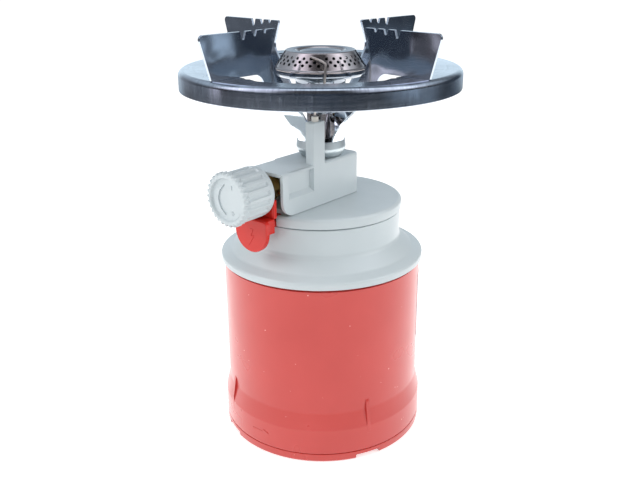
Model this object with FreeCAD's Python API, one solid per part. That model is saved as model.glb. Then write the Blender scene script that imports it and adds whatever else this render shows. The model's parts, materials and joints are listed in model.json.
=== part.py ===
import FreeCAD, Part
import math
import os

# Single burner camping stove on a round butane cartridge. Millimetres, +Z up.
# The origin is on the tube's axis, at the height of the surface the stove stands on.
# The photograph looks along +Y. The knob, valve and button share one upright plane through the axis.

os.makedirs("parts", exist_ok=True)

V = FreeCAD.Vector
up = V(0, 0, 1)

# Clearances
seat_gap = 0.15
running_gap = 0.06
sliding_gap = 0.25
washer_gap = 0.1
thread_gap = 0.02

# Cartridge, a 190 g pierceable can
can_radius = 44.4
can_height = 92.0
can_wall = 0.5
can_flat_radius = 12.0
can_shoulder_radius = 16.0
can_shoulder_drop = 7.2

# Cartridge holder, the red tube
can_play = 1.8
tube_wall = 1.8
tube_radius = can_radius + can_play + tube_wall
foot_step = 2.0
foot_radius = tube_radius + foot_step
shoulder_bottom = 17.0
shoulder_top = 25.4
foot_wall = 2.0
rib_thickness = 1.6
rib_top = 31.0
rib_bottom = 12.0

# Base plate that closes the holder from below
lip_height = 4.2
lip_width = 5.5
floor_top = 3.2
floor_thickness = 2.0
upstand_wall = 1.7
upstand_top = 14.0
upstand_to_can = 0.7
grip_width = 13.0
grip_height = 2.4
grip_depth = 4.5
grip_azimuth = -64.0

# Bayonet between base plate and holder
lug_count = 4
lug_span = 24.0
lug_overhang = 0.9
lug_bottom = 9.6
lug_thickness = 2.4
shelf_thickness = 3.0
shelf_gap_span = 34.0

# Blank label on the tube
tube_below_can = 6.7
can_top = floor_top + can_height
tube_top = can_top - tube_below_can
label_thickness = 0.2
label_start_azimuth = 77.0
label_end_azimuth = 132.0
label_height = 33.5
label_below_top = 8.0
label_top = tube_top - label_below_top
label_bottom = label_top - label_height

# Collar
flange_overhang = 1.3
flange_radius = tube_radius + flange_overhang
flange_side = 3.2
flange_slope_width = 5.1
flange_slope_end = flange_radius - flange_slope_width
flange_slope_rise = 5.0
neck_set_in = 10.1
neck_radius = tube_radius - neck_set_in
neck_above_tube = 11.1
neck_start = tube_top + neck_above_tube
neck_height = 13.0
collar_top = neck_start + neck_height
collar_wall = 1.8
spigot_length = 6.5
spigot_wall = 1.0
ledge_width = 1.6
ledge_thickness = 1.5
ledge_rise = 3.4

# Top cover
cover_overhang = 0.7
cover_radius = neck_radius + cover_overhang
cover_height = 5.4
cover_top = collar_top + cover_height
cover_edge = 1.6
cover_wall = 2.0
cover_spigot = 3.0
cover_spigot_wall = 1.4
screw_set_in = 8.9
screw_circle = neck_radius - screw_set_in
screw_angles = (70.0, 180.0, 290.0)
screw_radius = 1.2
screw_boss_radius = 3.2
screw_head_radius = 2.9
screw_head_height = 1.5
screw_bite = 8.0

# Support plate, and the nut that clamps the valve to it
plate_thickness = 1.5
clamp_nut_flats = 14.0
clamp_nut_height = 2.6
valve_foot_radius = 7.0
valve_foot_height = 2.0

# Valve housing, a box that is open below and at the knob's end
valve_azimuth = 230.7
box_half_width = 10.9
box_overhang = 2.4
box_knob_end = cover_radius + box_overhang
box_back_end = -16.0
box_height = 20.0
box_wall = 1.5
box_corner = 3.0
box_edge = 1.0
box_lower_corner = 7.0
pocket_start = 18.5
pocket_end_margin = 5.4
pocket_end = box_knob_end - pocket_end_margin
pocket_depth = 2.2
pocket_sill = 8.0
pocket_roof = 0.8
side_rib_depth = 1.4
side_rib_height = 10.0
side_rib_end = 19.5

# Post that holds the electrode
post_start = 10.3
post_end = 18.5
post_depth = 4.9
box_top = cover_top + box_height
post_above_box = 19.2
post_top = box_top + post_above_box
lead_bore_radius = 1.2

# Valve
spindle_above_cover = 12.5
spindle_height = cover_top + spindle_above_cover
valve_radius = 5.6
valve_stem_radius = 5.0
valve_back = -6.5
valve_set_back = 5.0
valve_front = box_knob_end - valve_set_back
outlet_above_box = 9.0
outlet_top = box_top + outlet_above_box
bore_elbow_drop = 8.1
outlet_radius = 5.4
gas_bore_radius = 1.2
spindle_radius = 3.0
spindle_tip = 8.0
spindle_seat = 7.5
o_ring_section = 0.7
o_ring_set_back = 9.0
o_ring_place = valve_front - o_ring_set_back
gland_flats = 11.0
gland_length = 6.2
needle_radius = 1.1
needle_bore = 0.4
needle_reach = 4.7
needle_seat_depth = 3.0
seal_thickness = 3.2
seal_radius = 7.0

# Knob
knob_stand_off = 2.6
knob_start = box_knob_end + knob_stand_off
knob_length = 19.9
knob_radius = 11.4
knob_rim_step = 0.5
knob_rim_radius = knob_radius + knob_rim_step
knob_rim_width = 2.5
knob_skirt = 1.9
knob_face_depth = 1.3
knob_face_set_in = 2.4
knob_face_radius = knob_radius - knob_face_set_in
knob_hub_radius = 4.6
knob_hub_set_in = 2.4
knob_hub_start = knob_start + knob_hub_set_in
knob_socket_radius = 2.5
knob_flutes = 18
knob_flute_radius = 1.15
knob_flute_depth = 0.6
knob_teeth = 30
knob_tooth_radius = 0.55

# Ignition button and its piezo unit
button_half_width = 9.5
button_stand_off = 8.5
button_front = box_knob_end + button_stand_off
button_face_thickness = 2.5
button_rise = 0.6
button_top = cover_top + button_rise
button_height = 15.5
button_bottom = button_top - button_height
button_web_length = 6.7
button_web_start = button_front - button_web_length
button_web_height = 6.6
button_web_bottom = button_top - button_web_height
button_guard_gap = 0.2
button_guard_start = box_knob_end + button_guard_gap
button_guard_thickness = 2.0
button_guard_below_spindle = 3.5
button_guard_top = spindle_height - button_guard_below_spindle
button_guard_opening = 7.2
button_stem_half_width = 4.9
button_stem_rise = 0.3
button_stem_bottom = collar_top + button_stem_rise
button_stem_thickness = 2.8
button_stem_top = button_stem_bottom + button_stem_thickness
button_stem_length = 21.5
button_stem_start = button_front - button_stem_length
button_pad_drop = 5.9
button_pad_bottom = button_stem_bottom - button_pad_drop
button_pad_thickness = 2.5
button_travel = 3.5
piezo_radius = 5.0
piezo_above_pad = 3.5
piezo_height = button_pad_bottom + piezo_above_pad
piezo_spring_room = 6.0
piezo_clear_of_valve = 0.6
piezo_end = button_stem_start - piezo_spring_room
piezo_start = valve_foot_radius + piezo_clear_of_valve
piezo_length = piezo_end - piezo_start
piezo_floor = 1.4
plunger_radius = 2.6
plunger_stop = 0.5
plunger_depth = piezo_length - piezo_floor - plunger_stop - button_travel
spring_wire = 0.25
spring_coil_radius = 3.7
spring_turns = 3.5

# Ignition lead and electrode
lead_radius = 0.9
lead_bend = 3.45
lead_above_box = 2.0
lead_top = box_top + lead_above_box
insulator_radius = 1.6
insulator_above_post = 2.2
electrode_radius = 0.55

# Burner
cup_bottom_radius = 9.3
cup_belly_radius = 11.8
cup_rim_radius = 11.2
cup_height = 8.0
cup_wall = 1.0
burner_tube_radius = 6.5
air_hole_radius = 2.5
air_hole_above_box = 18.2
air_hole_height = box_top + air_hole_above_box
air_hole_azimuths = (64.0, 154.0, 244.0, 334.0)
jet_radius = 2.6
jet_height = 4.5
jet_bore = 0.3
head_above_box = 26.0
head_neck_bottom = box_top + head_above_box
head_socket_length = 5.5
head_socket_bottom = head_neck_bottom - head_socket_length
head_socket_radius = 7.5
head_neck_radius = 11.5
head_neck_height = 9.0
head_flare_bottom = head_neck_bottom + head_neck_height
head_radius = 21.4
head_flare_height = 2.6
head_rim_bottom = head_flare_bottom + head_flare_height
head_rim_height = 3.0
head_rim_top = head_rim_bottom + head_rim_height
head_wall = 0.8
cap_wall = 0.7
cap_lean = 4.8
cap_top_radius = head_radius - cap_lean
cap_height = 9.0
cap_top = head_rim_top + cap_height
cap_shoulder_width = 6.4
cap_dish_radius = cap_top_radius - cap_shoulder_width
cap_dish_depth = 1.7
flame_holes = 30
flame_hole_radius = 0.62
flame_rows = 3
rivet_radius = 2.4
rivet_shank = 5.9

# Pan support
ring_radius = 64.6
ring_width = 7.6
ring_inner_radius = ring_radius - ring_width
ring_above_head = 0.9
ring_top = head_rim_top + ring_above_head
ring_skirt = 9.0
ring_edge = 2.6
ring_sheet = 0.8
ring_tongue_length = 9.0
ring_tongue_reach = ring_inner_radius - ring_tongue_length
ring_tongue_end_half_width = 5.5
ring_tongue_half_angle = 15.0
arm_sheet = 1.2
arm_azimuths = {"front_right": -45.0, "back_right": 45.0, "back_left": 135.0, "front_left": 225.0}
tab_play = 0.3
tab_start = ring_inner_radius + tab_play
tab_width = 5.3
tab_end = tab_start + tab_width
tab_depth = 2.4
blade_height = 18.5
pan_height = ring_top + blade_height
leg_inner = head_radius
leg_width = 10.8
leg_outer = leg_inner + leg_width
leg_below_ring = 8.5
leg_top = ring_top - leg_below_ring
leg_foot_width = 7.0
blade_heel = 0.4
blade_lean_out = 5.5
blade_lean_in = 5.6
blade_outer_bottom = tab_end + blade_heel
blade_outer_top = blade_outer_bottom + blade_lean_out
blade_inner_top = leg_inner + blade_lean_in
blade_waist_inset = 9.6
blade_waist_rise = 6.5
blade_waist = (leg_inner + blade_waist_inset, ring_top + blade_waist_rise)
blade_bay = 4.8
blade_corner = 2.2
notch_places = (18.5, 12.2, 6.6)
notch_widths = (2.4, 1.9, 1.4)
notch_depths = (4.4, 3.0, 2.0)
blade_notches = [(blade_inner_top + place, width, depth)
                 for place, width, depth in zip(notch_places, notch_widths, notch_depths)]


def polar(radius, azimuth, height=0.0):
    angle = math.radians(azimuth)
    return V(radius * math.cos(angle), radius * math.sin(angle), height)


def upright(a, b):
    return V(a, 0, b)


def flat(a, b):
    return V(a, b, 0)


def rounded_wire(corners, lay):
    """A closed wire through corners (a, b) or (a, b, radius), with its round corners as arcs."""
    passes = []
    count = len(corners)
    for i in range(count):
        here = V(corners[i][0], corners[i][1], 0)
        radius = corners[i][2] if len(corners[i]) > 2 else 0
        if radius == 0:
            passes.append((here, None, here))
            continue
        before = V(corners[i - 1][0], corners[i - 1][1], 0) - here
        after = V(corners[(i + 1) % count][0], corners[(i + 1) % count][1], 0) - here
        before.normalize()
        after.normalize()
        half = before.getAngle(after) / 2
        inward = before + after
        inward.normalize()
        middle = here + inward * (radius / math.sin(half) - radius)
        setback = radius / math.tan(half)
        passes.append((here + before * setback, middle, here + after * setback))
    edges = []
    for i in range(count):
        start, middle, end = passes[i]
        following = passes[(i + 1) % count][0]
        if middle is not None:
            points = [lay(p.x, p.y) for p in (start, middle, end)]
            edges.append(Part.Arc(*points).toShape())
        if (following - end).Length > 1e-6:
            edges.append(Part.LineSegment(lay(end.x, end.y), lay(following.x, following.y)).toShape())
    return Part.Wire(edges)


def turned(corners):
    """A body turned about the Z axis from an outline of (radius, height)."""
    return Part.Face(rounded_wire(corners, upright)).revolve(V(0, 0, 0), up, 360)


def cut_from(shape, *tools):
    result = shape.cut(list(tools))
    return result.removeSplitter()


def join(shape, *others):
    result = shape.fuse(list(others))
    return result.removeSplitter()


def block(x0, x1, y0, y1, z0, z1):
    return Part.makeBox(x1 - x0, y1 - y0, z1 - z0, V(x0, y0, z0))


def column(radius, bottom, top, x=0.0, y=0.0):
    return Part.makeCylinder(radius, top - bottom, V(x, y, bottom))


def hexagon(across_flats, bottom, top):
    corners = [polar(across_flats / math.sqrt(3), 60 * i, bottom) for i in range(7)]
    return Part.Face(Part.makePolygon(corners)).extrude(up * (top - bottom))


def about_axis(shape, azimuth):
    result = shape.copy()
    result.rotate(V(0, 0, 0), up, azimuth)
    return result


def aim(shape):
    """Turns a shape whose +X points out at the knob into the stove's frame."""
    return about_axis(shape, valve_azimuth)


def along_spindle(shape, height=spindle_height):
    """Lays a shape built on the Z axis along +X, at the spindle's height."""
    result = shape.copy()
    result.rotate(V(0, 0, 0), V(0, 1, 0), 90)
    result.translate(V(0, 0, height))
    return result


def sector(inner, outer, bottom, top, middle, span):
    """A slice of a ring, centred on an azimuth."""
    face = Part.Face(rounded_wire([(inner, bottom), (outer, bottom), (outer, top), (inner, top)], upright))
    return about_axis(face.revolve(V(0, 0, 0), up, span), middle - span / 2)


def save(name, shape):
    solids = shape.Solids
    result = solids[0] if len(solids) == 1 else shape
    if len(solids) != 1 or not result.isValid():
        print("look at", name, len(solids), "solids, valid:", result.isValid())
    result.exportStep("parts/" + name + ".step")


# Base plate
upstand_inner = can_radius + upstand_to_can
upstand_outer = upstand_inner + upstand_wall
lip_inner = foot_radius - lip_width
base_plate = turned([
    (0, floor_top - floor_thickness), (lip_inner, floor_top - floor_thickness, 0.6),
    (lip_inner, 0, 0.6), (foot_radius, 0, 0.8), (foot_radius, lip_height, 0.4),
    (upstand_outer, lip_height), (upstand_outer, upstand_top, 0.4), (upstand_inner, upstand_top, 0.4),
    (upstand_inner, floor_top, 0.4), (0, floor_top)])
lug_middles = [grip_azimuth + 360 * i / lug_count for i in range(lug_count)]
lug_outer = upstand_outer + lug_overhang
lugs = [sector(upstand_outer - 0.5, lug_outer, lug_bottom, lug_bottom + lug_thickness, middle, lug_span)
        for middle in lug_middles]
grip = block(foot_radius - grip_depth, foot_radius + 1, -grip_width / 2, grip_width / 2, -1, grip_height)
grips = [about_axis(grip, middle - 90) for middle in lug_middles]
save("base_plate", cut_from(join(base_plate, *lugs), *grips))

# Gas cartridge, pierced at the top
pierced_radius = needle_radius + washer_gap
can_edge = 1.0
shoulder_height = can_top - can_shoulder_drop
gas_cartridge = turned([
    (pierced_radius, can_top), (can_flat_radius, can_top, 20),
    (can_radius, shoulder_height, can_shoulder_radius), (can_radius, floor_top, can_edge),
    (can_radius - 3, floor_top, can_edge), (can_radius - 6, floor_top + 5, 3), (0, floor_top + 6),
    (0, floor_top + 6 + can_wall), (can_radius - 6.4, floor_top + 5 + can_wall, 3),
    (can_radius - 3, floor_top + can_wall, can_edge / 2), (can_radius - can_wall, floor_top + can_wall, can_edge / 2),
    (can_radius - can_wall, shoulder_height - can_wall, can_shoulder_radius - can_wall),
    (can_flat_radius, can_top - can_wall, 20), (pierced_radius, can_top - can_wall)])
save("gas_cartridge", gas_cartridge)
seal_top = can_top + seal_thickness
cartridge_seal = turned([
    (pierced_radius, can_top), (seal_radius, can_top, 0.6), (seal_radius, seal_top, 0.6),
    (pierced_radius, seal_top)])
save("cartridge_seal", cartridge_seal)

# Cartridge holder
tube_bottom = lip_height + seat_gap
foot_inner = foot_radius - foot_wall
tube_inner = tube_radius - tube_wall
holder = turned([
    (tube_inner, tube_top), (tube_inner, shoulder_top - 0.8, 3), (foot_inner, shoulder_bottom - 0.8, 2),
    (foot_inner, tube_bottom), (foot_radius, tube_bottom, 0.3), (foot_radius, shoulder_bottom, 2.5),
    (tube_radius, shoulder_top, 5), (tube_radius, tube_top)])
rib = Part.Face(rounded_wire(
    [(tube_radius - 0.6, rib_bottom), (foot_radius - 0.6, rib_bottom), (foot_radius + 0.0, rib_bottom + 1),
     (foot_radius + 0.0, shoulder_bottom + 2), (tube_radius + 0.2, rib_top), (tube_radius - 0.6, rib_top)],
    upright)).extrude(V(0, rib_thickness, 0))
rib.translate(V(0, -rib_thickness / 2, 0))
ribs = [about_axis(rib, middle - 90) for middle in lug_middles]
shelf_inner = upstand_outer + running_gap + 0.04
shelf_top = lug_bottom - sliding_gap
shelf_span = 360 / lug_count - shelf_gap_span
shelves = [sector(shelf_inner, foot_inner + 0.5, shelf_top - shelf_thickness, shelf_top,
                  middle + 180 / lug_count, shelf_span) for middle in lug_middles]
save("cartridge_holder", join(holder, *ribs, *shelves))

# Blank label
label = sector(tube_radius, tube_radius + label_thickness, label_bottom, label_top,
               (label_start_azimuth + label_end_azimuth) / 2 - 90, label_end_azimuth - label_start_azimuth)
save("blank_label", label)

# Collar
flange_bottom = tube_top
flange_top = flange_bottom + flange_side
slope_top = flange_bottom + flange_slope_rise
spigot_outer = tube_inner - running_gap
spigot_inner = spigot_outer - spigot_wall
neck_inner = neck_radius - collar_wall
ledge_top = neck_start + ledge_rise
ledge_inner = neck_inner - ledge_width
collar = turned([
    (spigot_inner, flange_bottom - spigot_length), (spigot_outer, flange_bottom - spigot_length, 0.4),
    (spigot_outer, flange_bottom), (flange_radius, flange_bottom, 0.3), (flange_radius, flange_top, 1.0),
    (flange_slope_end, slope_top, 3), (neck_radius, neck_start, 3), (neck_radius, collar_top, 0.3),
    (neck_inner, collar_top), (neck_inner, ledge_top), (ledge_inner, ledge_top),
    (ledge_inner, ledge_top - ledge_thickness), (neck_inner, ledge_top - ledge_thickness - 1),
    (neck_inner, neck_start - 0.8, 3), (flange_slope_end - 1.3, slope_top - 1.4, 2),
    (spigot_inner, flange_bottom + 1.5)])
save("collar", collar)

# Top cover with its notch for the button
cover_bottom = collar_top + seat_gap
cover_spigot_outer = neck_inner - running_gap
stem_notch = button_stem_half_width + sliding_gap + 0.1
top_cover = turned([
    (valve_stem_radius + running_gap, cover_top - cover_wall),
    (cover_spigot_outer - cover_spigot_wall, cover_top - cover_wall, 0.5),
    (cover_spigot_outer - cover_spigot_wall, cover_bottom - cover_spigot),
    (cover_spigot_outer, cover_bottom - cover_spigot, 0.3), (cover_spigot_outer, cover_bottom),
    (cover_radius, cover_bottom, 0.3), (cover_radius, cover_top, cover_edge),
    (valve_stem_radius + running_gap, cover_top)])
screw_places = [polar(screw_circle, angle) for angle in screw_angles]
bosses = [column(screw_boss_radius, ledge_top + plate_thickness, cover_top - cover_wall + 0.5, p.x, p.y)
          for p in screw_places]
pilots = [column(screw_radius, ledge_top, ledge_top + plate_thickness + screw_bite + 1, p.x, p.y)
          for p in screw_places]
notch = block(button_stem_start + 2, cover_radius + 2, -stem_notch, stem_notch, cover_bottom - cover_spigot - 1,
              cover_top + 1)
lead_x = (post_start + post_end) / 2
lead_y = box_half_width - post_depth / 2
lead_hole = column(lead_bore_radius, cover_top - cover_wall - 1, cover_top + 1, lead_x, lead_y)
cover_body = cut_from(join(top_cover, *bosses), *pilots, notch, lead_hole)
save("top_cover", aim(cover_body))

# Support plate, clamp nut and cover screws
plate_bottom = ledge_top
plate_top = plate_bottom + plate_thickness
plate = column(neck_inner - sliding_gap, plate_bottom, plate_top)
plate_holes = [column(screw_radius + 0.3, plate_bottom - 1, plate_top + 1, p.x, p.y) for p in screw_places]
plate_hole = column(valve_stem_radius + running_gap, plate_bottom - 1, plate_top + 1)
save("support_plate", aim(cut_from(plate, plate_hole, *plate_holes)))
clamp_nut = hexagon(clamp_nut_flats, plate_bottom - clamp_nut_height, plate_bottom)
nut_hole = column(valve_stem_radius + thread_gap, plate_bottom - clamp_nut_height - 1, plate_bottom + 1)
save("clamp_nut", cut_from(clamp_nut, nut_hole))
for number, place in enumerate(screw_places, 1):
    head = column(screw_head_radius, plate_bottom - screw_head_height, plate_bottom, place.x, place.y)
    head = head.makeFillet(0.6, [head.Edges[2]])
    shank = column(screw_radius, plate_bottom - 0.2, plate_top + screw_bite, place.x, place.y)
    cross = [block(place.x - a, place.x + a, place.y - b, place.y + b, plate_bottom - screw_head_height - 1,
                   plate_bottom - screw_head_height + 0.8) for a, b in ((1.6, 0.3), (0.3, 1.6))]
    save("cover_screw_%d" % number, aim(cut_from(join(head, shank), *cross)))

# Valve housing with its post
box = block(box_back_end, box_knob_end, -box_half_width, box_half_width, cover_top, box_top)
upright_edges = [e for e in box.Edges
                 if abs(e.Vertexes[0].X - e.Vertexes[-1].X) < 0.01 and abs(e.Vertexes[0].Y - e.Vertexes[-1].Y) < 0.01
                 and e.Vertexes[0].X < 0]
box = box.makeFillet(box_corner, upright_edges)
roof_edges = [e for e in box.Edges if e.BoundBox.ZMin > box_top - 0.01 and e.BoundBox.XMin < box_knob_end - 0.01]
box = box.makeFillet(box_edge, roof_edges)
inner_half = box_half_width - box_wall
room = block(box_back_end + box_wall, box_knob_end + 1, -inner_half, inner_half, cover_top - 1, box_top - box_wall)
room_edges = [e for e in room.Edges if e.BoundBox.ZMin > box_top - box_wall - 0.01 and e.BoundBox.XLength > 5]
room = room.makeFillet(1.5, room_edges)
lower_corner = Part.Face(rounded_wire(
    [(box_knob_end - box_lower_corner - 2, cover_top - 2), (box_knob_end - box_lower_corner - 2, cover_top),
     (box_knob_end, cover_top, box_lower_corner), (box_knob_end, cover_top + box_lower_corner + 2),
     (box_knob_end + 2, cover_top + box_lower_corner + 2), (box_knob_end + 2, cover_top - 2)], upright))
lower_corner = lower_corner.extrude(V(0, 3 * box_half_width, 0))
lower_corner.translate(V(0, -1.5 * box_half_width, 0))
pocket_wall = box_half_width - pocket_depth
pocket_sill_top = cover_top + pocket_sill
pocket = block(pocket_start, pocket_end, pocket_wall, box_half_width + 1, pocket_sill_top, box_top - pocket_roof)
pocket = pocket.makeFillet(0.8, [e for e in pocket.Edges if abs(e.BoundBox.YMax - pocket_wall) < 0.01])
pocket_back = block(pocket_start - 1, pocket_end + 1.2, pocket_wall - box_wall + 0.2, inner_half + 0.5,
                    cover_top, box_top - 0.5)
post = block(post_start, post_end, box_half_width - post_depth, box_half_width, cover_top, post_top)
post_edges = [e for e in post.Edges if e.BoundBox.ZLength > 5 or e.BoundBox.ZMin > post_top - 0.01]
post = post.makeFillet(0.7, post_edges)
side_rib = block(box_back_end + box_corner, side_rib_end, -box_half_width - side_rib_depth, -box_half_width + 0.5,
                 box_top - side_rib_height, box_top - 0.3)
lead_bore = column(lead_bore_radius, cover_top - 1, lead_top, lead_x, lead_y)
insulator_bore = column(insulator_radius + running_gap, lead_top, post_top + 1, lead_x, lead_y)
outlet_hole = column(outlet_radius + running_gap, box_top - box_wall - 1, box_top + 1)
housing = cut_from(box, room, lower_corner)
housing = cut_from(join(housing, post, side_rib, pocket_back), pocket, lead_bore, insulator_bore, outlet_hole)
save("valve_housing", aim(housing))

# Valve body: a level body for the spindle, a stem down to the cartridge and an outlet up to the burner
level_body = along_spindle(column(valve_radius, valve_back, valve_front))
down_stem = column(valve_stem_radius, seal_top, spindle_height)
valve_foot = column(valve_foot_radius, plate_top, plate_top + valve_foot_height)
up_stem = column(outlet_radius, spindle_height, outlet_top)
spindle_bore = along_spindle(column(spindle_radius + running_gap, spindle_seat, valve_front + 1))
o_ring_radius = spindle_radius + o_ring_section
o_ring_room = along_spindle(column(o_ring_radius + running_gap, o_ring_place - 2, valve_front + 1))
seat_bore = along_spindle(column(0.8, 0, spindle_seat + 1))
bore_elbow = spindle_height - bore_elbow_drop
inlet_bore = column(gas_bore_radius - 0.2, seal_top, bore_elbow)
needle_socket = column(needle_radius, seal_top - 1, seal_top + needle_seat_depth)
slant_start = V(0, 0, bore_elbow - 0.5)
slant_end = V(spindle_tip + 1.5, 0, spindle_height - 1)
slant_bore = Part.makeCylinder(0.9, (slant_end - slant_start).Length, slant_start, slant_end - slant_start)
outlet_bore = column(gas_bore_radius, spindle_height, outlet_top + 1)
valve_body = cut_from(join(level_body, down_stem, valve_foot, up_stem), spindle_bore, o_ring_room, seat_bore,
                      inlet_bore, needle_socket, slant_bore, outlet_bore)
save("valve_body", aim(valve_body))

# Piercing needle
needle_top = seal_top + needle_seat_depth
needle_tip = can_top - needle_reach
piercing_needle = turned([
    (needle_bore, needle_top), (needle_radius, needle_top), (needle_radius, needle_tip + 2.5),
    (needle_bore + 0.15, needle_tip), (needle_bore, needle_tip)])
save("piercing_needle", piercing_needle)

# Gas jet
jet_top = outlet_top + jet_height
jet_body = cut_from(join(hexagon(2 * jet_radius, outlet_top, outlet_top + 2.5), column(1.8, outlet_top, jet_top)),
                    column(jet_bore, outlet_top - 1, jet_top + 1))
save("gas_jet", jet_body)

# Spindle, its O-ring and the gland nut
groove_radius = o_ring_radius - 2 * o_ring_section + 0.1
spindle = turned([
    (0, spindle_tip - 0.3), (0.6, spindle_tip - 0.3), (2.2, spindle_tip + 1.6), (spindle_radius, spindle_tip + 1.6),
    (spindle_radius, o_ring_place - 0.9), (groove_radius, o_ring_place - 0.9), (groove_radius, o_ring_place + 0.9),
    (spindle_radius, o_ring_place + 0.9), (spindle_radius, knob_start - 0.4), (knob_socket_radius, knob_start - 0.4),
    (knob_socket_radius, knob_start + knob_length - 4.4, 0.3), (0, knob_start + knob_length - 4.4)])
save("valve_spindle", aim(along_spindle(spindle)))
o_ring = Part.makeTorus(o_ring_radius - o_ring_section + 0.05, o_ring_section - 0.05)
o_ring.translate(V(0, 0, o_ring_place))
save("spindle_o_ring", aim(along_spindle(o_ring)))
gland_hexagon = about_axis(hexagon(gland_flats, valve_front, valve_front + gland_length), 30)
gland_nut = cut_from(gland_hexagon,
                     column(spindle_radius + running_gap, valve_front - 1, valve_front + gland_length + 1))
gland_chamfer = turned([
    (0, valve_front), (gland_flats / 2 + 1, valve_front), (gland_flats / 2 + 1, valve_front + gland_length - 0.7),
    (gland_flats / 2, valve_front + gland_length), (0, valve_front + gland_length)])
save("gland_nut", aim(along_spindle(gland_nut.common(gland_chamfer))))

# Knob
knob_end = knob_start + knob_length
knob_face = knob_end - knob_face_depth
knob_web = knob_face - 3.2
knob_rim_start = knob_end - knob_rim_width
skirt_inner = knob_radius - knob_skirt
knob = turned([
    (0, knob_face), (0, knob_end - 4.2), (knob_socket_radius + thread_gap, knob_end - 4.2),
    (knob_socket_radius + thread_gap, knob_hub_start),
    (knob_hub_radius, knob_hub_start, 0.3), (knob_hub_radius, knob_web), (skirt_inner, knob_web),
    (skirt_inner, knob_start), (knob_radius - 0.3, knob_start, 1.4), (knob_radius, knob_rim_start - 0.6),
    (knob_rim_radius, knob_rim_start, 0.2), (knob_rim_radius, knob_end - 0.6, 0.5), (knob_radius, knob_end, 0.4),
    (knob_face_radius + 0.6, knob_end, 0.4), (knob_face_radius, knob_face, 0.3)])
flute_path = knob_radius + knob_flute_radius - knob_flute_depth
flute = column(knob_flute_radius, knob_start + 3.9, knob_rim_start - 0.2, flute_path, 0)
tooth = column(knob_tooth_radius, knob_rim_start - 1, knob_end + 1, knob_rim_radius + 0.15, 0)
flutes = [about_axis(flute, 360 * i / knob_flutes) for i in range(knob_flutes)]
teeth = [about_axis(tooth, 360 * i / knob_teeth) for i in range(knob_teeth)]
save("control_knob", aim(along_spindle(cut_from(knob, *flutes, *teeth))))

# Ignition button: a hanging tongue, a guard around the gland and a stem in to the piezo unit
tongue_outline = rounded_wire(
    [(-button_half_width, button_top, 1.2), (-button_half_width, button_bottom, button_half_width - 0.02),
     (button_half_width, button_bottom, button_half_width - 0.02), (button_half_width, button_top, 1.2)],
    lambda a, b: V(button_front - button_face_thickness, a, b))
tongue = Part.Face(tongue_outline).extrude(V(button_face_thickness, 0, 0))
front_edges = [e for e in tongue.Edges if e.BoundBox.XMin > button_front - 0.01]
tongue = tongue.makeFillet(0.8, front_edges)
web = block(button_web_start, button_front - 1, -button_half_width + 0.6, button_half_width - 0.6,
            button_web_bottom, button_top)
guard = block(button_guard_start, button_guard_start + button_guard_thickness, -button_half_width + 0.6,
              button_half_width - 0.6, cover_top + 0.4, button_guard_top)
guard_opening = along_spindle(column(button_guard_opening, button_guard_start - 1, button_front + 1))
stem = block(button_stem_start, button_front - 1, -button_stem_half_width, button_stem_half_width,
             button_stem_bottom, button_stem_top)
pad = block(button_stem_start, button_stem_start + button_pad_thickness, -button_stem_half_width,
            button_stem_half_width, button_pad_bottom, button_stem_top)
button = cut_from(join(tongue, web, guard, stem, pad), guard_opening)
save("ignition_button", aim(button))

# Piezo unit, its plunger and its return spring
plunger_end = button_stem_start
plunger_start = piezo_end - plunger_depth
piezo = turned([
    (0, piezo_start), (piezo_radius, piezo_start, 0.5), (piezo_radius, piezo_end, 0.5),
    (plunger_radius + running_gap, piezo_end), (plunger_radius + running_gap, plunger_start - button_travel - plunger_stop),
    (0, plunger_start - button_travel - plunger_stop)])
save("piezo_unit", aim(along_spindle(piezo, piezo_height)))
save("piezo_plunger", aim(along_spindle(column(plunger_radius, plunger_start, plunger_end), piezo_height)))
spring_room = plunger_end - piezo_end
spring_start = piezo_end + spring_wire + 0.02
spring_length = spring_room - 2 * spring_wire - 0.04
spring_pitch = spring_length / spring_turns
quarters = round(4 * spring_turns)


def spring_point(quarter):
    return polar(spring_coil_radius, 90 * quarter, spring_start + spring_pitch * quarter / 4)


spring_path = Part.Wire([Part.Arc(spring_point(i), spring_point(i + 0.5), spring_point(i + 1)).toShape()
                         for i in range(quarters)])
spring_end = Part.Wire([Part.makeCircle(spring_wire, spring_point(0), V(0, 1, 0))])
piezo_spring = spring_path.makePipeShell([spring_end], True, True)
print("least gap between spring turns", round(spring_pitch - 2 * spring_wire, 2), "mm")
save("piezo_spring", aim(along_spindle(piezo_spring, piezo_height)))

# Ignition lead: out of the piezo unit's side, one quarter bend, and up inside the post
lead_rise = piezo_height + lead_bend
lead_out = lead_y - lead_bend
lead_path = Part.Wire([
    Part.Arc(V(lead_x, lead_out, piezo_height),
             V(lead_x, lead_out + lead_bend * math.sin(math.pi / 4), lead_rise - lead_bend * math.cos(math.pi / 4)),
             V(lead_x, lead_y, lead_rise)).toShape(),
    Part.LineSegment(V(lead_x, lead_y, lead_rise), V(lead_x, lead_y, lead_top)).toShape()])
lead_end = Part.Wire([Part.makeCircle(lead_radius, lead_path.Edges[0].Vertexes[0].Point, V(0, 1, 0))])
ignition_lead = lead_path.makePipeShell([lead_end], True, True)
piezo_side = along_spindle(column(piezo_radius, piezo_start, piezo_end), piezo_height)
save("ignition_lead", aim(cut_from(ignition_lead, piezo_side)))

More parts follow.
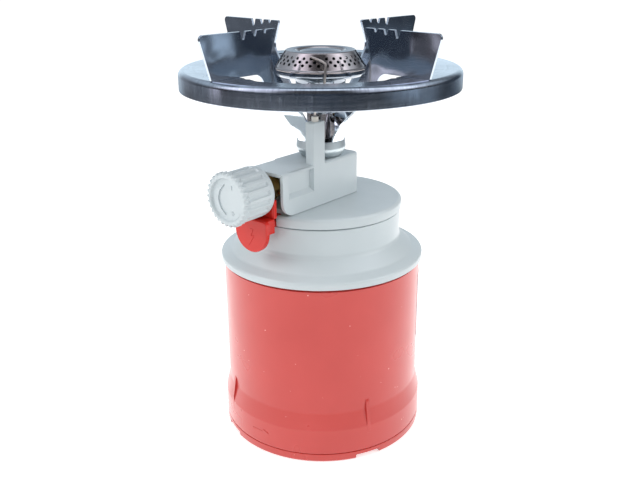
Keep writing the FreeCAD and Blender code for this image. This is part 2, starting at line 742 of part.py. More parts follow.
# Electrode in its insulator
insulator_top = post_top + insulator_above_post
insulator = cut_from(column(insulator_radius, lead_top, insulator_top, lead_x, lead_y),
                     column(electrode_radius, lead_top + 2, insulator_top + 1, lead_x, lead_y))
save("electrode_insulator", aim(insulator))
post_place = about_axis(Part.Vertex(V(lead_x, lead_y, 0)), valve_azimuth).Point
wire_foot = V(post_place.x, post_place.y, lead_top + 2)
wire_exit = V(post_place.x, post_place.y, insulator_top + 0.5)
spark_radius = cap_top_radius + 2.2
wire_points = [wire_exit, V(post_place.x + 0.9, post_place.y - 2.6, head_neck_bottom + 0.5),
               V(0.9, -head_radius - 1.6, head_flare_bottom - 2.0), V(1.8, -head_radius - 2.2, head_rim_bottom + 0.9),
               V(2.3, -head_radius - 1.4, cap_top - 5.4)]
rise = Part.BSplineCurve()
rise.interpolate(wire_points, InitialTangent=up * 4, FinalTangent=V(0.1, 0.3, 1) * 4)
bend = Part.BSplineCurve()
bend.interpolate([wire_points[-1], V(1.4, -head_radius - 0.3, cap_top - 3.9),
                  V(-3.9, -spark_radius + 1.0, cap_top - 2.0)],
                 InitialTangent=V(0.1, 0.3, 1) * 1.5, FinalTangent=V(-5.3, 4.4, 1.8))
wire_path = Part.Wire([Part.LineSegment(wire_foot, wire_exit).toShape(), rise.toShape(), bend.toShape()])
wire_end = Part.Wire([Part.makeCircle(electrode_radius, wire_foot, up)])
save("electrode_wire", wire_path.makePipeShell([wire_end], True, True))

# Support cup on the housing's roof
cup_bottom = box_top
cup_rim = cup_bottom + cup_height
support_cup = turned([
    (outlet_radius + running_gap, cup_bottom), (cup_bottom_radius, cup_bottom, 1.5),
    (cup_belly_radius, cup_bottom + 0.45 * cup_height, 3), (cup_rim_radius, cup_rim),
    (cup_rim_radius - cup_wall, cup_rim), (cup_belly_radius - cup_wall, cup_bottom + 0.45 * cup_height, 2),
    (cup_bottom_radius - 0.5, cup_bottom + cup_wall, 1), (outlet_radius + running_gap, cup_bottom + cup_wall)])
save("support_cup", support_cup)

# Burner tube
tube_bore = outlet_radius + running_gap
burner_foot = cup_bottom + cup_wall
head_seat = head_neck_bottom + 1.0
burner_tube = turned([
    (tube_bore, burner_foot), (burner_tube_radius + 1.0, burner_foot, 0.3), (burner_tube_radius + 1.0, burner_foot + 3),
    (burner_tube_radius, burner_foot + 3), (burner_tube_radius, head_seat + 2), (tube_bore, head_seat + 2)])
air_hole = Part.makeCylinder(air_hole_radius, 3 * burner_tube_radius, V(0, 0, air_hole_height), V(1, 0, 0))
air_holes = [about_axis(air_hole, azimuth - 90) for azimuth in air_hole_azimuths]
save("burner_tube", cut_from(burner_tube, *air_holes))

# Burner head
socket_inner = burner_tube_radius + 0.02
burner_head = turned([
    (socket_inner, head_socket_bottom), (head_socket_radius, head_socket_bottom, 0.2),
    (head_socket_radius, head_neck_bottom - 2.5, 1), (head_neck_radius, head_neck_bottom, 1.5),
    (head_neck_radius, head_flare_bottom, 1.5), (head_radius - 1.6, head_rim_bottom - 0.6, 1.5),
    (head_radius, head_rim_bottom + 0.6, 0.8), (head_radius, head_rim_top, 0.3), (head_radius - head_wall, head_rim_top),
    (head_radius - head_wall, head_rim_bottom + 1.2, 0.5), (head_neck_radius - head_wall, head_flare_bottom + 0.6, 1),
    (head_neck_radius - head_wall, head_neck_bottom + 0.7, 1), (socket_inner, head_neck_bottom - 1.7)])
save("burner_head", burner_head)

# Burner cap: a perforated cone with a rolled lower rim
cone_foot = head_rim_top + 0.7
cap_radius = head_radius - 0.3
burner_cap = turned([
    (head_radius - head_wall, head_rim_top), (head_radius, head_rim_top, 0.3), (head_radius, cone_foot, 0.5),
    (cap_radius - 0.6, cone_foot + 0.5, 0.5), (cap_top_radius, cap_top, 0.9), (cap_dish_radius + 1.6, cap_top, 1.2),
    (cap_dish_radius, cap_top - cap_dish_depth, 0.4), (cap_dish_radius, cap_top - cap_dish_depth - cap_wall),
    (cap_dish_radius + 1.4, cap_top - cap_wall, 0.5), (cap_top_radius - 0.5, cap_top - cap_wall, 0.5),
    (cap_radius - 1.6, cone_foot + 0.3)])
cone_slope = math.atan2(cap_radius - cap_top_radius, cap_top - cone_foot)
cone_length = math.hypot(cap_radius - cap_top_radius, cap_top - cone_foot)
holes = []
for row in range(flame_rows):
    share = 0.26 + 0.235 * row
    centre = V(cap_radius - 0.6 + share * (cap_top_radius - cap_radius + 0.6), 0,
               cone_foot + 0.5 + share * (cap_top - cone_foot - 0.5))
    outward = V(math.cos(cone_slope), 0, math.sin(cone_slope))
    hole = Part.makeCylinder(flame_hole_radius, 4, centre - outward * 2, outward)
    for i in range(flame_holes):
        holes.append(about_axis(hole, 360 / flame_holes * (i + 0.5 * (row % 2)) - 81.5))
save("burner_cap", cut_from(burner_cap, *holes))

# Dished disc that closes the cap, and its rivet
dish_top = cap_top - cap_dish_depth
burner_disc = turned([
    (rivet_radius - 0.8, dish_top), (cap_dish_radius - 0.05, dish_top, 0.2), (cap_dish_radius - 0.05, dish_top - 0.8),
    (rivet_radius - 0.8, dish_top - 0.8)])
crown = turned([
    (rivet_radius - 0.8, dish_top - 0.4), (cap_dish_radius - 1.2, dish_top - 0.4, 0.1),
    (cap_dish_radius - 1.6, dish_top + 0.9, 0.5), (rivet_radius - 0.8, dish_top + 1.3)])
save("burner_disc", join(burner_disc, crown))
rivet_seat = dish_top + 1.3
rivet_end = dish_top - rivet_shank
disc_rivet = turned([
    (0, rivet_end), (rivet_radius - 0.85, rivet_end), (rivet_radius - 0.85, rivet_seat),
    (rivet_radius, rivet_seat, 0.1), (rivet_radius - 0.6, rivet_seat + 0.8, 0.4), (0, rivet_seat + 0.8)])
save("disc_rivet", disc_rivet)

# Pan ring with tongues and slots where the arms stand
skirt_bottom = ring_top - ring_skirt
pan_ring = turned([
    (ring_inner_radius, ring_top), (ring_inner_radius, ring_top - ring_sheet),
    (ring_radius - ring_sheet, ring_top - ring_sheet, ring_edge - ring_sheet), (ring_radius - ring_sheet, skirt_bottom),
    (ring_radius, skirt_bottom, 0.3), (ring_radius, ring_top, ring_edge)])
tongue_half = math.radians(ring_tongue_half_angle)
tongue_root = ring_inner_radius + 1.0
tongue_corners = [(tongue_root * math.cos(tongue_half), tongue_root * math.sin(tongue_half)),
                  (ring_tongue_reach, ring_tongue_end_half_width, 3),
                  (ring_tongue_reach, -ring_tongue_end_half_width, 3),
                  (tongue_root * math.cos(tongue_half), -tongue_root * math.sin(tongue_half)),
                  (ring_inner_radius + 3, 0)]
ring_tongue = Part.Face(rounded_wire(tongue_corners, flat)).extrude(up * ring_sheet)
ring_tongue.translate(up * (ring_top - ring_sheet))
slot_play = 0.1
slot = block(tab_start - slot_play, tab_end + slot_play, -arm_sheet / 2 - slot_play, arm_sheet / 2 + slot_play,
             ring_top - 4, ring_top + 1)
tongues = [about_axis(ring_tongue, azimuth) for azimuth in arm_azimuths.values()]
slots = [about_axis(slot, azimuth) for azimuth in arm_azimuths.values()]
save("pan_ring", cut_from(join(pan_ring, *tongues), *slots))

# Pan arms: a twisted leg that opens into a notched blade
blade_corners = [
    (leg_inner, leg_top), (leg_outer, leg_top), (leg_outer + blade_bay, ring_top + 0.05, blade_bay - 0.3), (tab_start, ring_top),
    (tab_start, ring_top - tab_depth, 0.4), (tab_end, ring_top - tab_depth, 0.4), (tab_end, ring_top),
    (blade_outer_bottom, ring_top, 0.3), (blade_outer_top, pan_height, blade_corner), (blade_inner_top, pan_height, 0.8),
    (blade_waist[0], blade_waist[1], 3)]
blade = Part.Face(rounded_wire(blade_corners, upright)).extrude(V(0, arm_sheet, 0))
blade.translate(V(0, -arm_sheet / 2, 0))
for place, width, depth in blade_notches:
    notch_corners = [(place - width * 0.75, pan_height + 1), (place - width * 0.3, pan_height - depth, width * 0.28),
                     (place + width * 0.3, pan_height - depth, width * 0.28), (place + width * 0.75, pan_height + 1)]
    notch_tool = Part.Face(rounded_wire(notch_corners, upright)).extrude(V(0, 4, 0))
    notch_tool.translate(V(0, -2, 0))
    blade = blade.cut(notch_tool)
leg_stations = 7
foot_place = cup_rim_radius - cup_wall / 2
sections = []
for i in range(leg_stations):
    share = i / (leg_stations - 1)
    height = cup_rim + share * (leg_top - cup_rim)
    middle = foot_place + (0.32 * share + 0.68 * share ** 1.6) * ((leg_inner + leg_outer) / 2 - foot_place)
    ease = share * share * (3 - 2 * share)
    twist = math.radians(-90 * (1 - ease) ** 1.1)
    half_width = (leg_foot_width + (leg_outer - leg_inner - leg_foot_width) * share) / 2
    half_sheet = (cup_wall + (arm_sheet - cup_wall) * share) / 2
    along = V(math.cos(twist), math.sin(twist), 0)
    across = V(-math.sin(twist), math.cos(twist), 0)
    centre = V(middle, 0, height)
    corners = [centre + along * (a * half_width) + across * (b * half_sheet)
               for a, b in ((-1, -1), (1, -1), (1, 1), (-1, 1), (-1, -1))]
    sections.append(Part.makePolygon(corners))
leg = Part.makeLoft(sections, True, False)
arm = join(blade, leg)
for name, azimuth in arm_azimuths.items():
    save("pan_arm_" + name, about_axis(arm, azimuth))
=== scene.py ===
import json
import math

import bmesh
import bpy
from mathutils import Matrix, Vector


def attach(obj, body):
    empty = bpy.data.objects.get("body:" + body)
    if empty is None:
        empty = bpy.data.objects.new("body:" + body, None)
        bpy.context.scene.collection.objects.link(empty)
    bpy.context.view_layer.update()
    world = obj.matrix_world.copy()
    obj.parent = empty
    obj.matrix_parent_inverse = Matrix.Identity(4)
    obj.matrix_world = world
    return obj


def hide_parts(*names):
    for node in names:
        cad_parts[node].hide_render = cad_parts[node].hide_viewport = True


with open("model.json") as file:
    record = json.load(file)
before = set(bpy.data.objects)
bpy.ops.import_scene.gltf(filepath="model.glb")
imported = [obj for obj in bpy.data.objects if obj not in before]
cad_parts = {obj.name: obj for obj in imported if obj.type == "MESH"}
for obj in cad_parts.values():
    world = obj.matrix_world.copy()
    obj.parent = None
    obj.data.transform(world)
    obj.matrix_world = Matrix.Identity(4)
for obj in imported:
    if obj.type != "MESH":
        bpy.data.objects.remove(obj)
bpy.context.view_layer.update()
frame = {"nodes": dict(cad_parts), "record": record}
print("frame loaded")

knobSide = math.radians(230.7)  # the way the knob points, turned from +X about the tube's axis
spindleHeight = 130.5  # millimetres, as are all the sizes below
metresPerUnit = 0.001
arcStep = 0.6  # the length of a rounded corner's facets
weldDistance = 0.002
upAxis = Vector((0, 0, 1))
outAxis = Vector((1, 0, 0))


# Shaping

def placed(name, data):
    thing = bpy.data.objects.new(name, data)
    bpy.context.scene.collection.objects.link(thing)
    return thing


def meshOf(name, shape):
    mesh = bpy.data.meshes.new(name)
    shape.to_mesh(mesh)
    shape.free()
    return mesh


def outward(shape):
    bmesh.ops.recalc_face_normals(shape, faces=shape.faces[:])
    return shape


def bevelled(shape, geometry, size, segments, affect="VERTICES"):
    bmesh.ops.bevel(shape, geom=geometry, offset=size, offset_type="OFFSET", segments=segments, profile=0.5,
                    affect=affect, clamp_overlap=affect == "EDGES", material=-1)


def outline(corners, closed=True, lay=lambda a, b: (a, 0, b)):
    # corners are (a, b) or (a, b, radius), and a radius rounds the corner with a bevel
    shape = bmesh.new()
    dots = [shape.verts.new(lay(c[0], c[1])) for c in corners]
    ends = dots[1:] + dots[:1] if closed else dots[1:]
    for here, there in zip(dots, ends):
        shape.edges.new((here, there))
    for number, corner in enumerate(corners):
        if len(corner) < 3 or corner[2] == 0:
            continue
        here = Vector(corner[:2])
        before = Vector(corners[number - 1][:2]) - here
        after = Vector(corners[(number + 1) % len(corners)][:2]) - here
        half = before.angle(after) / 2
        arc = corner[2] * (math.pi - 2 * half)
        bevelled(shape, [dots[number]], corner[2] / math.tan(half), max(2, min(10, round(arc / arcStep) + 1)))
    return shape


def turned(corners, steps, closed=True, start=0):
    shape = spun(outline(corners, closed), start)
    bmesh.ops.spin(shape, geom=shape.verts[:] + shape.edges[:], cent=(0, 0, 0), axis=upAxis, angle=2 * math.pi,
                   steps=steps, use_merge=True, use_duplicate=False)
    bmesh.ops.remove_doubles(shape, verts=shape.verts[:], dist=weldDistance)
    return outward(shape)


def drawnOut(corners, depth, lay, way=None, start=0):
    # fills a flat outline and draws it out by depth, from start, along way or else square to itself
    shape = outline(corners, True, lay)
    face = bmesh.ops.contextual_create(shape, geom=shape.edges[:])["faces"]
    shape.normal_update()
    way = face[0].normal.copy() if way is None else way
    grown = bmesh.ops.extrude_face_region(shape, geom=face)
    far = [v for v in grown["geom"] if isinstance(v, bmesh.types.BMVert)]
    bmesh.ops.translate(shape, vec=way * depth, verts=far)
    bmesh.ops.translate(shape, vec=way * start, verts=shape.verts[:])
    return outward(shape)


def sheetOf(corners, thickness, lay=lambda a, b: (a, 0, b)):
    # a flat sheet cut to an outline, centred on the plane that it's drawn in
    return drawnOut(corners, thickness, lay, start=-thickness / 2)


def arcBar(corners, start, span, steps):
    # a bar with the outline's section that runs part of the way round the tube
    bar = spun(outline(corners), start)
    bmesh.ops.spin(bar, geom=bar.verts[:] + bar.edges[:], cent=(0, 0, 0), axis=upAxis, angle=span, steps=steps,
                   use_duplicate=False)
    bmesh.ops.holes_fill(bar, edges=[e for e in bar.edges if e.is_boundary])
    return outward(bar)


def block(low, high):
    shape = bmesh.new()
    middle = (Vector(low) + Vector(high)) / 2
    size = Vector(high) - Vector(low)
    bmesh.ops.create_cube(shape, size=1, matrix=Matrix.Translation(middle) @ Matrix.Diagonal((*size, 1)))
    return shape


def middleOf(edge):
    return (edge.verts[0].co + edge.verts[1].co) / 2


def rounded(shape, radius, segments=3, wanted=None):
    edges = [e for e in shape.edges if len(e.link_faces) == 2 and e.calc_face_angle(0) > 0.6
             and (wanted is None or wanted(e))]
    bevelled(shape, edges, radius, segments, "EDGES")
    return shape


def spun(shape, angle, axis="Z"):
    bmesh.ops.rotate(shape, cent=(0, 0, 0), matrix=Matrix.Rotation(angle, 3, axis), verts=shape.verts[:])
    return shape


def shifted(shape, x=0, y=0, z=0):
    bmesh.ops.translate(shape, vec=(x, y, z), verts=shape.verts[:])
    return shape


def aimed(shape):
    return spun(shape, knobSide)


def alongSpindle(shape):
    return shifted(spun(shape, math.radians(90), "Y"), z=spindleHeight)


def joined(*shapes):
    whole = bmesh.new()
    for shape in shapes:
        mesh = meshOf("joining", shape)
        whole.from_mesh(mesh)
        bpy.data.meshes.remove(mesh)
    return whole


def cutAway(shape, cutter):
    # takes cutter's room out of shape, for the few places where one piece gives way to another
    made = [placed("cutting", meshOf("cutting", part)) for part in (shape, cutter)]
    whole, tool = made
    cut = whole.modifiers.new("cut", "BOOLEAN")
    cut.object = tool
    cut.operation = "DIFFERENCE"
    cut.solver = "EXACT"
    cut.use_self = True
    bpy.context.view_layer.update()
    result = bmesh.new()
    result.from_object(whole, bpy.context.evaluated_depsgraph_get())
    for carrier in made:
        mesh = carrier.data
        bpy.data.objects.remove(carrier)
        bpy.data.meshes.remove(mesh)
    return result


def makePiece(name, shape, body, slotName, nodes, finish=None, smoothBelow=32, edgeRound=0):
    bmesh.ops.scale(shape, vec=(metresPerUnit,) * 3, verts=shape.verts[:])
    mesh = meshOf(name, shape)
    mesh.materials.append(finishes[finish or finishOfSlot[slotName]])
    mesh.shade_smooth()
    mesh.set_sharp_from_angle(angle=math.radians(smoothBelow))
    piece = placed(name, mesh)
    if edgeRound:
        soften = piece.modifiers.new("soften", "BEVEL")
        soften.width = edgeRound * metresPerUnit
        soften.segments = 2
        soften.limit_method = "ANGLE"
        soften.angle_limit = math.radians(35)
        soften.harden_normals = True
        soften.use_clamp_overlap = True
    flatten = piece.modifiers.new("flatten", "WEIGHTED_NORMAL")
    flatten.keep_sharp = True
    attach(piece, body)
    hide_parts(*nodes)


# Node helpers

def newGroup(name, inputs, outputs):
    group = bpy.data.node_groups.new(name, "ShaderNodeTree")
    for label, value in inputs.items():
        kind = "NodeSocketColor" if isinstance(value, tuple) else "NodeSocketFloat"
        group.interface.new_socket(name=label, in_out="INPUT", socket_type=kind).default_value = value
    for label in outputs:
        kind = "NodeSocketColor" if label == "Colour" else "NodeSocketFloat"
        group.interface.new_socket(name=label, in_out="OUTPUT", socket_type=kind)
    return group, group.nodes.new("NodeGroupInput"), group.nodes.new("NodeGroupOutput")


def addNode(tree, kind, inputs=None, **settings):
    node = tree.nodes.new(kind)
    for key, value in settings.items():
        setattr(node, key, value)
    for key, value in (inputs or {}).items():
        socket = node.inputs[key]
        if isinstance(value, bpy.types.NodeSocket):
            tree.links.new(value, socket)
        else:
            socket.default_value = value
    return node


def sums(tree, operation, first, second=0.0):
    return addNode(tree, "ShaderNodeMath", {0: first, 1: second}, operation=operation).outputs[0]


def mixColour(tree, share, first, second):
    node = addNode(tree, "ShaderNodeMix", {"Factor": share}, data_type="RGBA")
    for key, value in ((6, first), (7, second)):
        if isinstance(value, bpy.types.NodeSocket):
            tree.links.new(value, node.inputs[key])
        else:
            node.inputs[key].default_value = (*value, 1)
    return node.outputs[2]


def ranged(tree, value, low, high, toLow=0.0, toHigh=1.0):
    return addNode(tree, "ShaderNodeMapRange", {"Value": value, "From Min": low, "From Max": high, "To Min": toLow,
                                                "To Max": toHigh}).outputs[0]


def objectPoint(tree):
    return addNode(tree, "ShaderNodeTexCoord").outputs["Object"]


def noise(tree, place, scale, detail=2.0, rough=0.5):
    return addNode(tree, "ShaderNodeTexNoise", {"Vector": place, "Scale": scale, "Detail": detail,
                                                "Roughness": rough}).outputs[0]


# Shared effects

def buildMottle():
    # slow drifts of colour and gloss over a moulded or plated surface, with a fine grain
    group, given, out = newGroup("slowMottle", {
        "Colour": (0.8, 0.8, 0.8, 1), "Second Colour": (0.7, 0.7, 0.7, 1), "Scale": 40.0, "Grain Scale": 1500.0,
        "Roughness": 0.35, "Roughness Drift": 0.08}, ("Colour", "Roughness", "Height"))
    place = objectPoint(group)
    slow = noise(group, place, given.outputs["Scale"], 3.0, 0.55)
    fine = noise(group, place, given.outputs["Grain Scale"])
    share = ranged(group, slow, 0.32, 0.68)
    colour = mixColour(group, share, given.outputs["Colour"], given.outputs["Second Colour"])
    drift = sums(group, "MULTIPLY", sums(group, "SUBTRACT", slow, 0.5),
                 sums(group, "MULTIPLY", given.outputs["Roughness Drift"], 4.0))
    rough = sums(group, "ADD", given.outputs["Roughness"], drift)
    group.links.new(colour, out.inputs["Colour"])
    group.links.new(rough, out.inputs["Roughness"])
    group.links.new(fine, out.inputs["Height"])
    return group


def buildScuffs():
    # short thin scratches that cross each other, 1 on a scratch
    group, given, out = newGroup("fineScuffs", {"Scale": 60.0, "Amount": 0.5}, ["Mask"])
    place = objectPoint(group)
    masks = []
    for turn, stretch in ((0.4, (1, 14, 5)), (1.9, (12, 1, 4)), (2.7, (3, 9, 1))):
        laid = addNode(group, "ShaderNodeMapping", {"Vector": place, "Rotation": (turn, turn * 0.7, turn * 1.3),
                                                    "Scale": stretch}).outputs[0]
        masks.append(ranged(group, noise(group, laid, given.outputs["Scale"], 1.0), 0.70, 0.735))
    both = sums(group, "MAXIMUM", sums(group, "MAXIMUM", masks[0], masks[1]), masks[2])
    here = sums(group, "MULTIPLY", both, ranged(group, noise(group, place, 22.0), 0.45, 0.62))
    group.links.new(sums(group, "MULTIPLY", here, given.outputs["Amount"]), out.inputs["Mask"])
    return group


def buildTurning():
    # faint rings from pressing or brushing a round sheet, running round the Z axis
    group, given, out = newGroup("turningMarks", {"Density": 900.0, "Round": 2.0}, ["Value"])
    apart = addNode(group, "ShaderNodeSeparateXYZ", {"Vector": objectPoint(group)})
    angle = sums(group, "ARCTAN2", apart.outputs[1], apart.outputs[0])
    flat = addNode(group, "ShaderNodeCombineXYZ", {"X": apart.outputs[0], "Y": apart.outputs[1]}).outputs[0]
    radius = addNode(group, "ShaderNodeVectorMath", {0: flat}, operation="LENGTH").outputs["Value"]
    laid = addNode(group, "ShaderNodeCombineXYZ", {
        "X": sums(group, "MULTIPLY", radius, given.outputs["Density"]),
        "Y": sums(group, "MULTIPLY", apart.outputs[2], given.outputs["Density"]),
        "Z": sums(group, "MULTIPLY", angle, given.outputs["Round"])}).outputs[0]
    group.links.new(noise(group, laid, 1.0, 3.0, 0.6), out.inputs["Value"])
    return group


def buildSpecks():
    # scattered dust and pits, 1 on a speck
    group, given, out = newGroup("scatteredSpecks", {"Scale": 300.0, "Size": 0.12, "Share": 0.2}, ["Mask"])
    cells = addNode(group, "ShaderNodeTexVoronoi", {"Vector": objectPoint(group), "Scale": given.outputs["Scale"]})
    apart = addNode(group, "ShaderNodeSeparateColor", {"Color": cells.outputs["Color"]})
    chosen = sums(group, "LESS_THAN", apart.outputs[0], given.outputs["Share"])
    size = sums(group, "MULTIPLY", given.outputs["Size"], apart.outputs[1])
    near = sums(group, "LESS_THAN", cells.outputs["Distance"], size)
    group.links.new(sums(group, "MULTIPLY", chosen, near), out.inputs["Mask"])
    return group


slowMottle = buildMottle()
fineScuffs = buildScuffs()
turningMarks = buildTurning()
scatteredSpecks = buildSpecks()


def useGroup(tree, group, **inputs):
    node = tree.nodes.new("ShaderNodeGroup")
    node.node_tree = group
    for key, value in inputs.items():
        node.inputs[key.replace("_", " ")].default_value = (*value, 1) if isinstance(value, tuple) else value
    return node


def newMaterial(name, **plain):
    material = bpy.data.materials.new(name)
    material.use_nodes = True
    tree = material.node_tree
    shader = tree.nodes["Principled BSDF"]
    for key, value in plain.items():
        shader.inputs[key.replace("_", " ")].default_value = value
    return material, tree, shader


def bumped(tree, shader, height, distance):
    bump = addNode(tree, "ShaderNodeBump", {"Strength": 1.0, "Distance": distance, "Height": height})
    tree.links.new(bump.outputs[0], shader.inputs["Normal"])
    return bump


finishes = {}


def plasticFinish(name, colour, second, rough, drift=0.06, speckColour=None, speckShare=0.12, grain=0.000012,
                  scale=30.0, scuffAmount=0.25, **plain):
    material, tree, shader = newMaterial(name, **plain)
    base = useGroup(tree, slowMottle, Colour=colour, Second_Colour=second, Scale=scale, Roughness=rough,
                    Roughness_Drift=drift)
    scuffs = useGroup(tree, fineScuffs, Scale=55.0, Amount=scuffAmount)
    tint = base.outputs["Colour"]
    if speckColour:
        specks = useGroup(tree, scatteredSpecks, Scale=800.0, Size=0.24, Share=speckShare)
        tint = mixColour(tree, specks.outputs[0], tint, speckColour)
    tree.links.new(tint, shader.inputs["Base Color"])
    tree.links.new(sums(tree, "ADD", base.outputs["Roughness"], sums(tree, "MULTIPLY", scuffs.outputs[0], 0.2)),
                   shader.inputs["Roughness"])
    bumped(tree, shader, sums(tree, "SUBTRACT", base.outputs["Height"], scuffs.outputs[0]), grain)
    finishes[name] = material


def metalFinish(name, colour, second, rough, drift=0.05, density=900.0, ringDepth=0.000004, ringRough=0.12,
                scale=35.0, scuffAmount=0.5, waves=0.0, streaks=0.0, paintedSheenBelow=None, **plain):
    material, tree, shader = newMaterial(name, Metallic=1.0, **plain)
    base = useGroup(tree, slowMottle, Colour=colour, Second_Colour=second, Scale=scale, Roughness=rough,
                    Roughness_Drift=drift)
    rings = useGroup(tree, turningMarks, Density=density)
    scuffs = useGroup(tree, fineScuffs, Scale=70.0, Amount=scuffAmount)
    ringed = sums(tree, "MULTIPLY", sums(tree, "SUBTRACT", rings.outputs[0], 0.5), ringRough)
    rubbed = sums(tree, "MULTIPLY", scuffs.outputs[0], 0.15)
    tint = base.outputs["Colour"]
    if streaks:
        # upright strokes of a brush across the ring's skirt
        strokes = useGroup(tree, turningMarks, Density=130.0, Round=110.0)
        shade = ranged(tree, strokes.outputs[0], 0.3, 0.7, 1 - streaks, 1 + streaks)
        tint = addNode(tree, "ShaderNodeVectorMath", {0: tint, "Scale": shade}, operation="SCALE").outputs[0]
    if paintedSheenBelow:
        # painted reflection: the plating is painted pale below the burner, standing in for the bright light that the
        # lower legs mirror
        low, high, sheenColour = paintedSheenBelow
        height = addNode(tree, "ShaderNodeSeparateXYZ", {"Vector": objectPoint(tree)}).outputs[2]
        tint = mixColour(tree, ranged(tree, height, low, high), sheenColour, tint)
    tree.links.new(tint, shader.inputs["Base Color"])
    tree.links.new(sums(tree, "ADD", sums(tree, "ADD", base.outputs["Roughness"], ringed), rubbed),
                   shader.inputs["Roughness"])
    fineBump = bumped(tree, shader, sums(tree, "SUBTRACT", rings.outputs[0], scuffs.outputs[0]), ringDepth)
    if waves:
        # slow dents of pressed sheet, which break up what it mirrors
        dents = noise(tree, objectPoint(tree), 62.0, 1.0)
        slowBump = addNode(tree, "ShaderNodeBump", {"Strength": 1.0, "Distance": waves, "Height": dents})
        tree.links.new(slowBump.outputs[0], fineBump.inputs["Normal"])
    finishes[name] = material


plasticFinish("redShell", (0.55, 0.034, 0.025), (0.50, 0.028, 0.020), 0.30, 0.05, (0.8, 0.4, 0.36), 0.02,
              scuffAmount=0.08, Coat_Weight=0.3, Coat_Roughness=0.3)
plasticFinish("redGloss", (0.60, 0.022, 0.014), (0.53, 0.016, 0.010), 0.2, 0.04, Specular_IOR_Level=0.3)
plasticFinish("whiteShell", (0.555, 0.615, 0.64), (0.515, 0.58, 0.605), 0.36, 0.06)
# the arms' legs below the blades get a pale painted reflection colour, mixed in by height
metalFinish("armChrome", (0.46, 0.51, 0.58), (0.40, 0.45, 0.52), 0.12, 0.04, 250.0, 0.0000015, 0.05,
            waves=0.0005, paintedSheenBelow=(0.158, 0.176, (0.92, 0.96, 1.0)))
metalFinish("bowlChrome", (0.60, 0.66, 0.68), (0.52, 0.58, 0.60), 0.42, 0.06, 300.0, 0.000002, 0.05)
metalFinish("neckChrome", (0.30, 0.33, 0.37), (0.24, 0.27, 0.31), 0.12, 0.04, 300.0, 0.000002, 0.05)
metalFinish("ringChrome", (0.36, 0.40, 0.46), (0.30, 0.34, 0.40), 0.17, 0.05, streaks=0.2)
metalFinish("burnerSteel", (0.40, 0.37, 0.375), (0.33, 0.305, 0.31), 0.17, 0.05, scuffAmount=0.2)
metalFinish("turnedBrass", (0.72, 0.50, 0.20), (0.58, 0.37, 0.13), 0.28, 0.07)
metalFinish("zincSteel", (0.62, 0.64, 0.66), (0.52, 0.55, 0.58), 0.34, 0.06)
metalFinish("tinplate", (0.40, 0.41, 0.43), (0.33, 0.34, 0.36), 0.38, 0.06, 500.0)
metalFinish("hardSteel", (0.62, 0.63, 0.66), (0.55, 0.56, 0.6), 0.25, 0.05)
metalFinish("wireSteel", (0.42, 0.40, 0.38), (0.33, 0.30, 0.28), 0.32, 0.06)
plasticFinish("blackRubber", (0.03, 0.03, 0.03), (0.045, 0.045, 0.045), 0.6, 0.08)
plasticFinish("blackCase", (0.035, 0.036, 0.04), (0.05, 0.05, 0.055), 0.5, 0.08)
plasticFinish("naturalPlastic", (0.72, 0.70, 0.64), (0.66, 0.64, 0.58), 0.45, 0.06)
plasticFinish("leadSleeve", (0.70, 0.69, 0.66), (0.62, 0.61, 0.58), 0.5, 0.06)
plasticFinish("glazedWhite", (0.78, 0.76, 0.70), (0.72, 0.70, 0.64), 0.14, 0.04, Coat_Weight=0.6)
plasticFinish("coatedPaper", (0.82, 0.84, 0.86), (0.78, 0.80, 0.82), 0.42, 0.05)
finishOfSlot = {
    "red_plastic": "redShell", "white_plastic": "whiteShell", "tinplate": "tinplate", "seal_rubber": "blackRubber",
    "label_paper": "coatedPaper", "zinc_steel": "zincSteel", "brass": "turnedBrass", "needle_steel": "hardSteel",
    "piezo_black": "blackCase", "piezo_white": "naturalPlastic", "lead_sleeve": "leadSleeve",
    "insulator_ceramic": "glazedWhite", "electrode_steel": "wireSteel", "arm_chrome": "armChrome",
    "ring_chrome": "ringChrome", "burner_steel": "burnerSteel"}
slotOf = {entry["node"]: entry["material_slot"] for entry in frame["record"]["subparts"]}
for nodeName, node in frame["nodes"].items():
    node.data.materials.clear()
    node.data.materials.append(finishes[finishOfSlot[slotOf[nodeName]]])
print("finishes made")


# Camera, floor and lamps

camera = {"lens": 44.55, "place": (0, -0.3675, 0.2298), "down": 0.3529, "turn": 0.0022, "roll": -0.0075}
eye = placed("eye", bpy.data.cameras.new("eye"))
eye.data.sensor_width = 36
eye.data.lens = camera["lens"]
eye.data.clip_start = 0.01
eye.matrix_world = (Matrix.Translation(camera["place"]) @ Matrix.Rotation(camera["turn"], 4, "Z")
                    @ Matrix.Rotation(math.pi / 2 - camera["down"], 4, "X") @ Matrix.Rotation(camera["roll"], 4, "Z"))
bpy.context.scene.camera = eye
bpy.context.scene.view_settings.view_transform = "Standard"

studio = {"floorRadius": 4.0, "floorDrop": 0.0002, "floorColour": (0.9, 0.9, 0.9), "floorGlow": 0.56, "floorGlare": 1.2,
          "worldLight": 0.52, "roomRadius": 0.6, "roomStart": 0.001, "skirting": (0.9, 0.95, 1.0),
          "skylight": (1.5, 1.6, 1.75), "skylightStart": (0.955, 0.985), "lampTarget": (0, 0, 0.1)}
